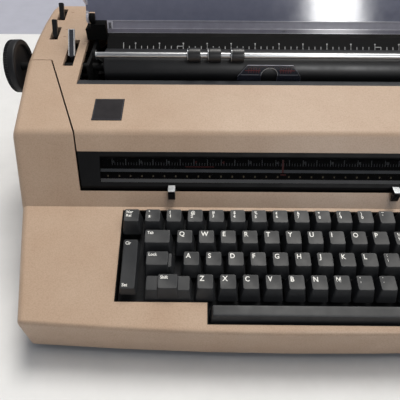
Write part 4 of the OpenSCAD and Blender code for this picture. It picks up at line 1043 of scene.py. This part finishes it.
lever("paper_release_lever", -218.6, 6.5, (68, 125), (60, 153.56), (79, 172.56), False)
lever("line_space_lever", -242.8, 5.5, (95.5, 120), (94, 158.06), (103, 172.06), True)
lever("copy_control_lever", -242.4, 5.5, (128.5, 118), (128.5, 162.63), (136.5, 176.13), True)
print("levers ready")

# %% [markdown]
# ## Marks beside the levers, the plate and the feet
# Faint brown marks beside the slots show the lever positions. The plate on the cover is left
# bare, with a fine rim. The machine stands on four rubber feet with a groove round each. A
# flat black lip lies along the rear edge of the platen opening.

# %% Small fittings
COVER_SET = body_of("top_cover")
top_face = face_at(52, 152.5, slope_of(94.4, 12.5))
lever_marks = bmesh.new()
for x, up, wide in ((-209.6, 32.4, 5.2), (-211.0, 27.6, 3.4), (-234.2, 41, 3.4), (-234.2, 54, 3.4),
                    (-234.2, 88, 3)):
    bar_mark(lever_marks, top_face, x, x + wide, up, up + 0.7, -0.05, 0.03)
finish_piece("lever_marks", lever_marks, mark_brown, COVER_SET)

FRONT_RUN, FRONT_RISE = 97, 15.5
front_top = face_at(-45, 137, slope_of(FRONT_RUN, FRONT_RISE))
PLATE_X, PLATE_UP = -169.6, 27 / math.cos(math.atan2(FRONT_RISE, FRONT_RUN))
PLATE_W, PLATE_D, RIM_X, RIM_UP, RIM_T = 14, 13.75, 13.4, 13.2, 0.4


def on_plate(x0, x1, up0, up1):
    return PLATE_X + x0, PLATE_X + x1, PLATE_UP + up0, PLATE_UP + up1


name_plate, rim = bmesh.new(), bmesh.new()
slab(name_plate, rectangle(*on_plate(-PLATE_W, PLATE_W, -PLATE_D, PLATE_D)), front_top, 0, 0.7, 0.2)
for sides in ((-RIM_X, RIM_X, -RIM_UP, RIM_T - RIM_UP), (-RIM_X, RIM_X, RIM_UP - RIM_T, RIM_UP),
              (-RIM_X, RIM_T - RIM_X, RIM_T - RIM_UP, RIM_UP - RIM_T),
              (RIM_X - RIM_T, RIM_X, RIM_T - RIM_UP, RIM_UP - RIM_T)):
    bar_mark(rim, front_top, *on_plate(*sides), 0.5, 0.76)
finish_piece("name_plate_blank", name_plate, plate_black, COVER_SET, "name_plate")
finish_piece("name_plate_rim", rim, blade_grey, COVER_SET)

FOOT_X, FOOT_Y, AXIS = 194, 155, 0.01
foot_line = [(AXIS, 0), (12, 0), (14.4, 0.5), (15.4, 1.6), (15.4, 3), (14.8, 3.4), (15.6, 3.8), (16, 8),
             (AXIS, 8)]
feet = bmesh.new()
for x in (-FOOT_X, FOOT_X):
    for y in (-FOOT_Y, FOOT_Y):
        turned_upright(feet, foot_line, x, y, 0, 40)
finish_piece("rubber_feet_mouldings", feet, foot_rubber, CASE_SET, "rubber_feet")
rear_lip = bmesh.new()
slab(rear_lip, rectangle(-186, 186, 39.6, 51), top_face, -0.4, 0.5, 0.2)
finish_piece("opening_rear_lip", rear_lip, well_black, COVER_SET)
print("small fittings ready")

# %% [markdown]
# ## Camera, table and light
# The camera looks down on the left half of the machine from the front. The table is a pale,
# even sheet, with a blue-grey one behind it. Two wide, soft skies shine down from above, from
# behind and to the right, so that the top and the deck are bright and the front face falls in
# its own shade. A small lamp in front shows as a reflection in the hood, and a weak world
# light fills in.

# %% Camera
camera_data = bpy.data.cameras.new("studio_camera")
camera_data.lens, camera_data.sensor_width = 35.853, 36.0
camera_data.clip_start, camera_data.clip_end = 0.01, 20.0
camera = show(bpy.data.objects.new("studio_camera", camera_data))
camera.location = (-0.08113, -0.33025, 0.36277)
camera.rotation_euler = (math.radians(41.957), math.radians(-0.082), math.radians(0.516))
bpy.context.scene.camera = camera
print("camera at", tuple(round(c, 3) for c in camera.location))

# %% Table
TABLE_REACH, TABLE_EDGE_Y = 3.0, 0.4287  # metres


def matte(name, low, high):
    material, tree, place = begin(name)
    fibre = grain(tree, place, 30, 4.0, 0.6)
    close(tree, {"Base Color": between(tree, fibre, low, high), "Roughness": 0.8,
                 "Specular IOR Level": 0.2,
                 "Normal": relief(tree, grain(tree, place, 1.5), 0.05, 0.3)})
    return material


def sheet(name, material, y0, y1):
    bm = bmesh.new()
    corners = rectangle(-TABLE_REACH, TABLE_REACH, y0, y1)
    bm.faces.new([bm.verts.new((x, y, 0)) for x, y in corners])
    mesh = bpy.data.meshes.new(name)
    bm.to_mesh(mesh)
    bm.free()
    mesh.materials.append(material)
    show(bpy.data.objects.new(name, mesh))


sheet("table_top", matte("pale_laminate", "#E4E5E6", "#E8E9EA"), -TABLE_REACH, TABLE_EDGE_Y)
sheet("table_rear", matte("blue_grey_laminate", "#AEB0BD", "#B3B5C2"), TABLE_EDGE_Y, TABLE_REACH)
print("table ready")

# %% Light
def aimed(data, place, aim):
    """A light at a place that shines towards a point."""
    light = show(bpy.data.objects.new(data.name, data))
    light.location = place
    light.rotation_euler = (Vector(aim) - Vector(place)).to_track_quat("-Z", "Y").to_euler()
    return light


def sky(name, energy, spread_deg, place, tint):
    data = bpy.data.lights.new(name, "SUN")
    data.energy, data.angle, data.color = energy, math.radians(spread_deg), colour(tint)[:3]
    return aimed(data, place, (0, 0, 0))


sky("overhead_window", 1.3, 46, (0.4, 0.3, 1.0), "#FFFCF6")
sky("rear_window", 1.75, 22, (0.3, 0.75, 1.5), "#FFFBF4")
lamp = bpy.data.lights.new("hood_glint", "AREA")
lamp.shape, lamp.size, lamp.size_y, lamp.energy = "RECTANGLE", 0.17, 0.3, 6
aimed(lamp, (0.4, -0.93, 0.74), (0.05, 0.097, 0.187)).visible_diffuse = False
world = bpy.data.worlds.new("soft_sky")
world.use_nodes = True
background = world.node_tree.nodes["Background"]
background.inputs["Color"].default_value = colour("#F6F8FF")
background.inputs["Strength"].default_value = 0.22
bpy.context.scene.world = world
bpy.context.scene.view_settings.view_transform = "Standard"
print("lit by two skies, a small lamp and a weak world light")
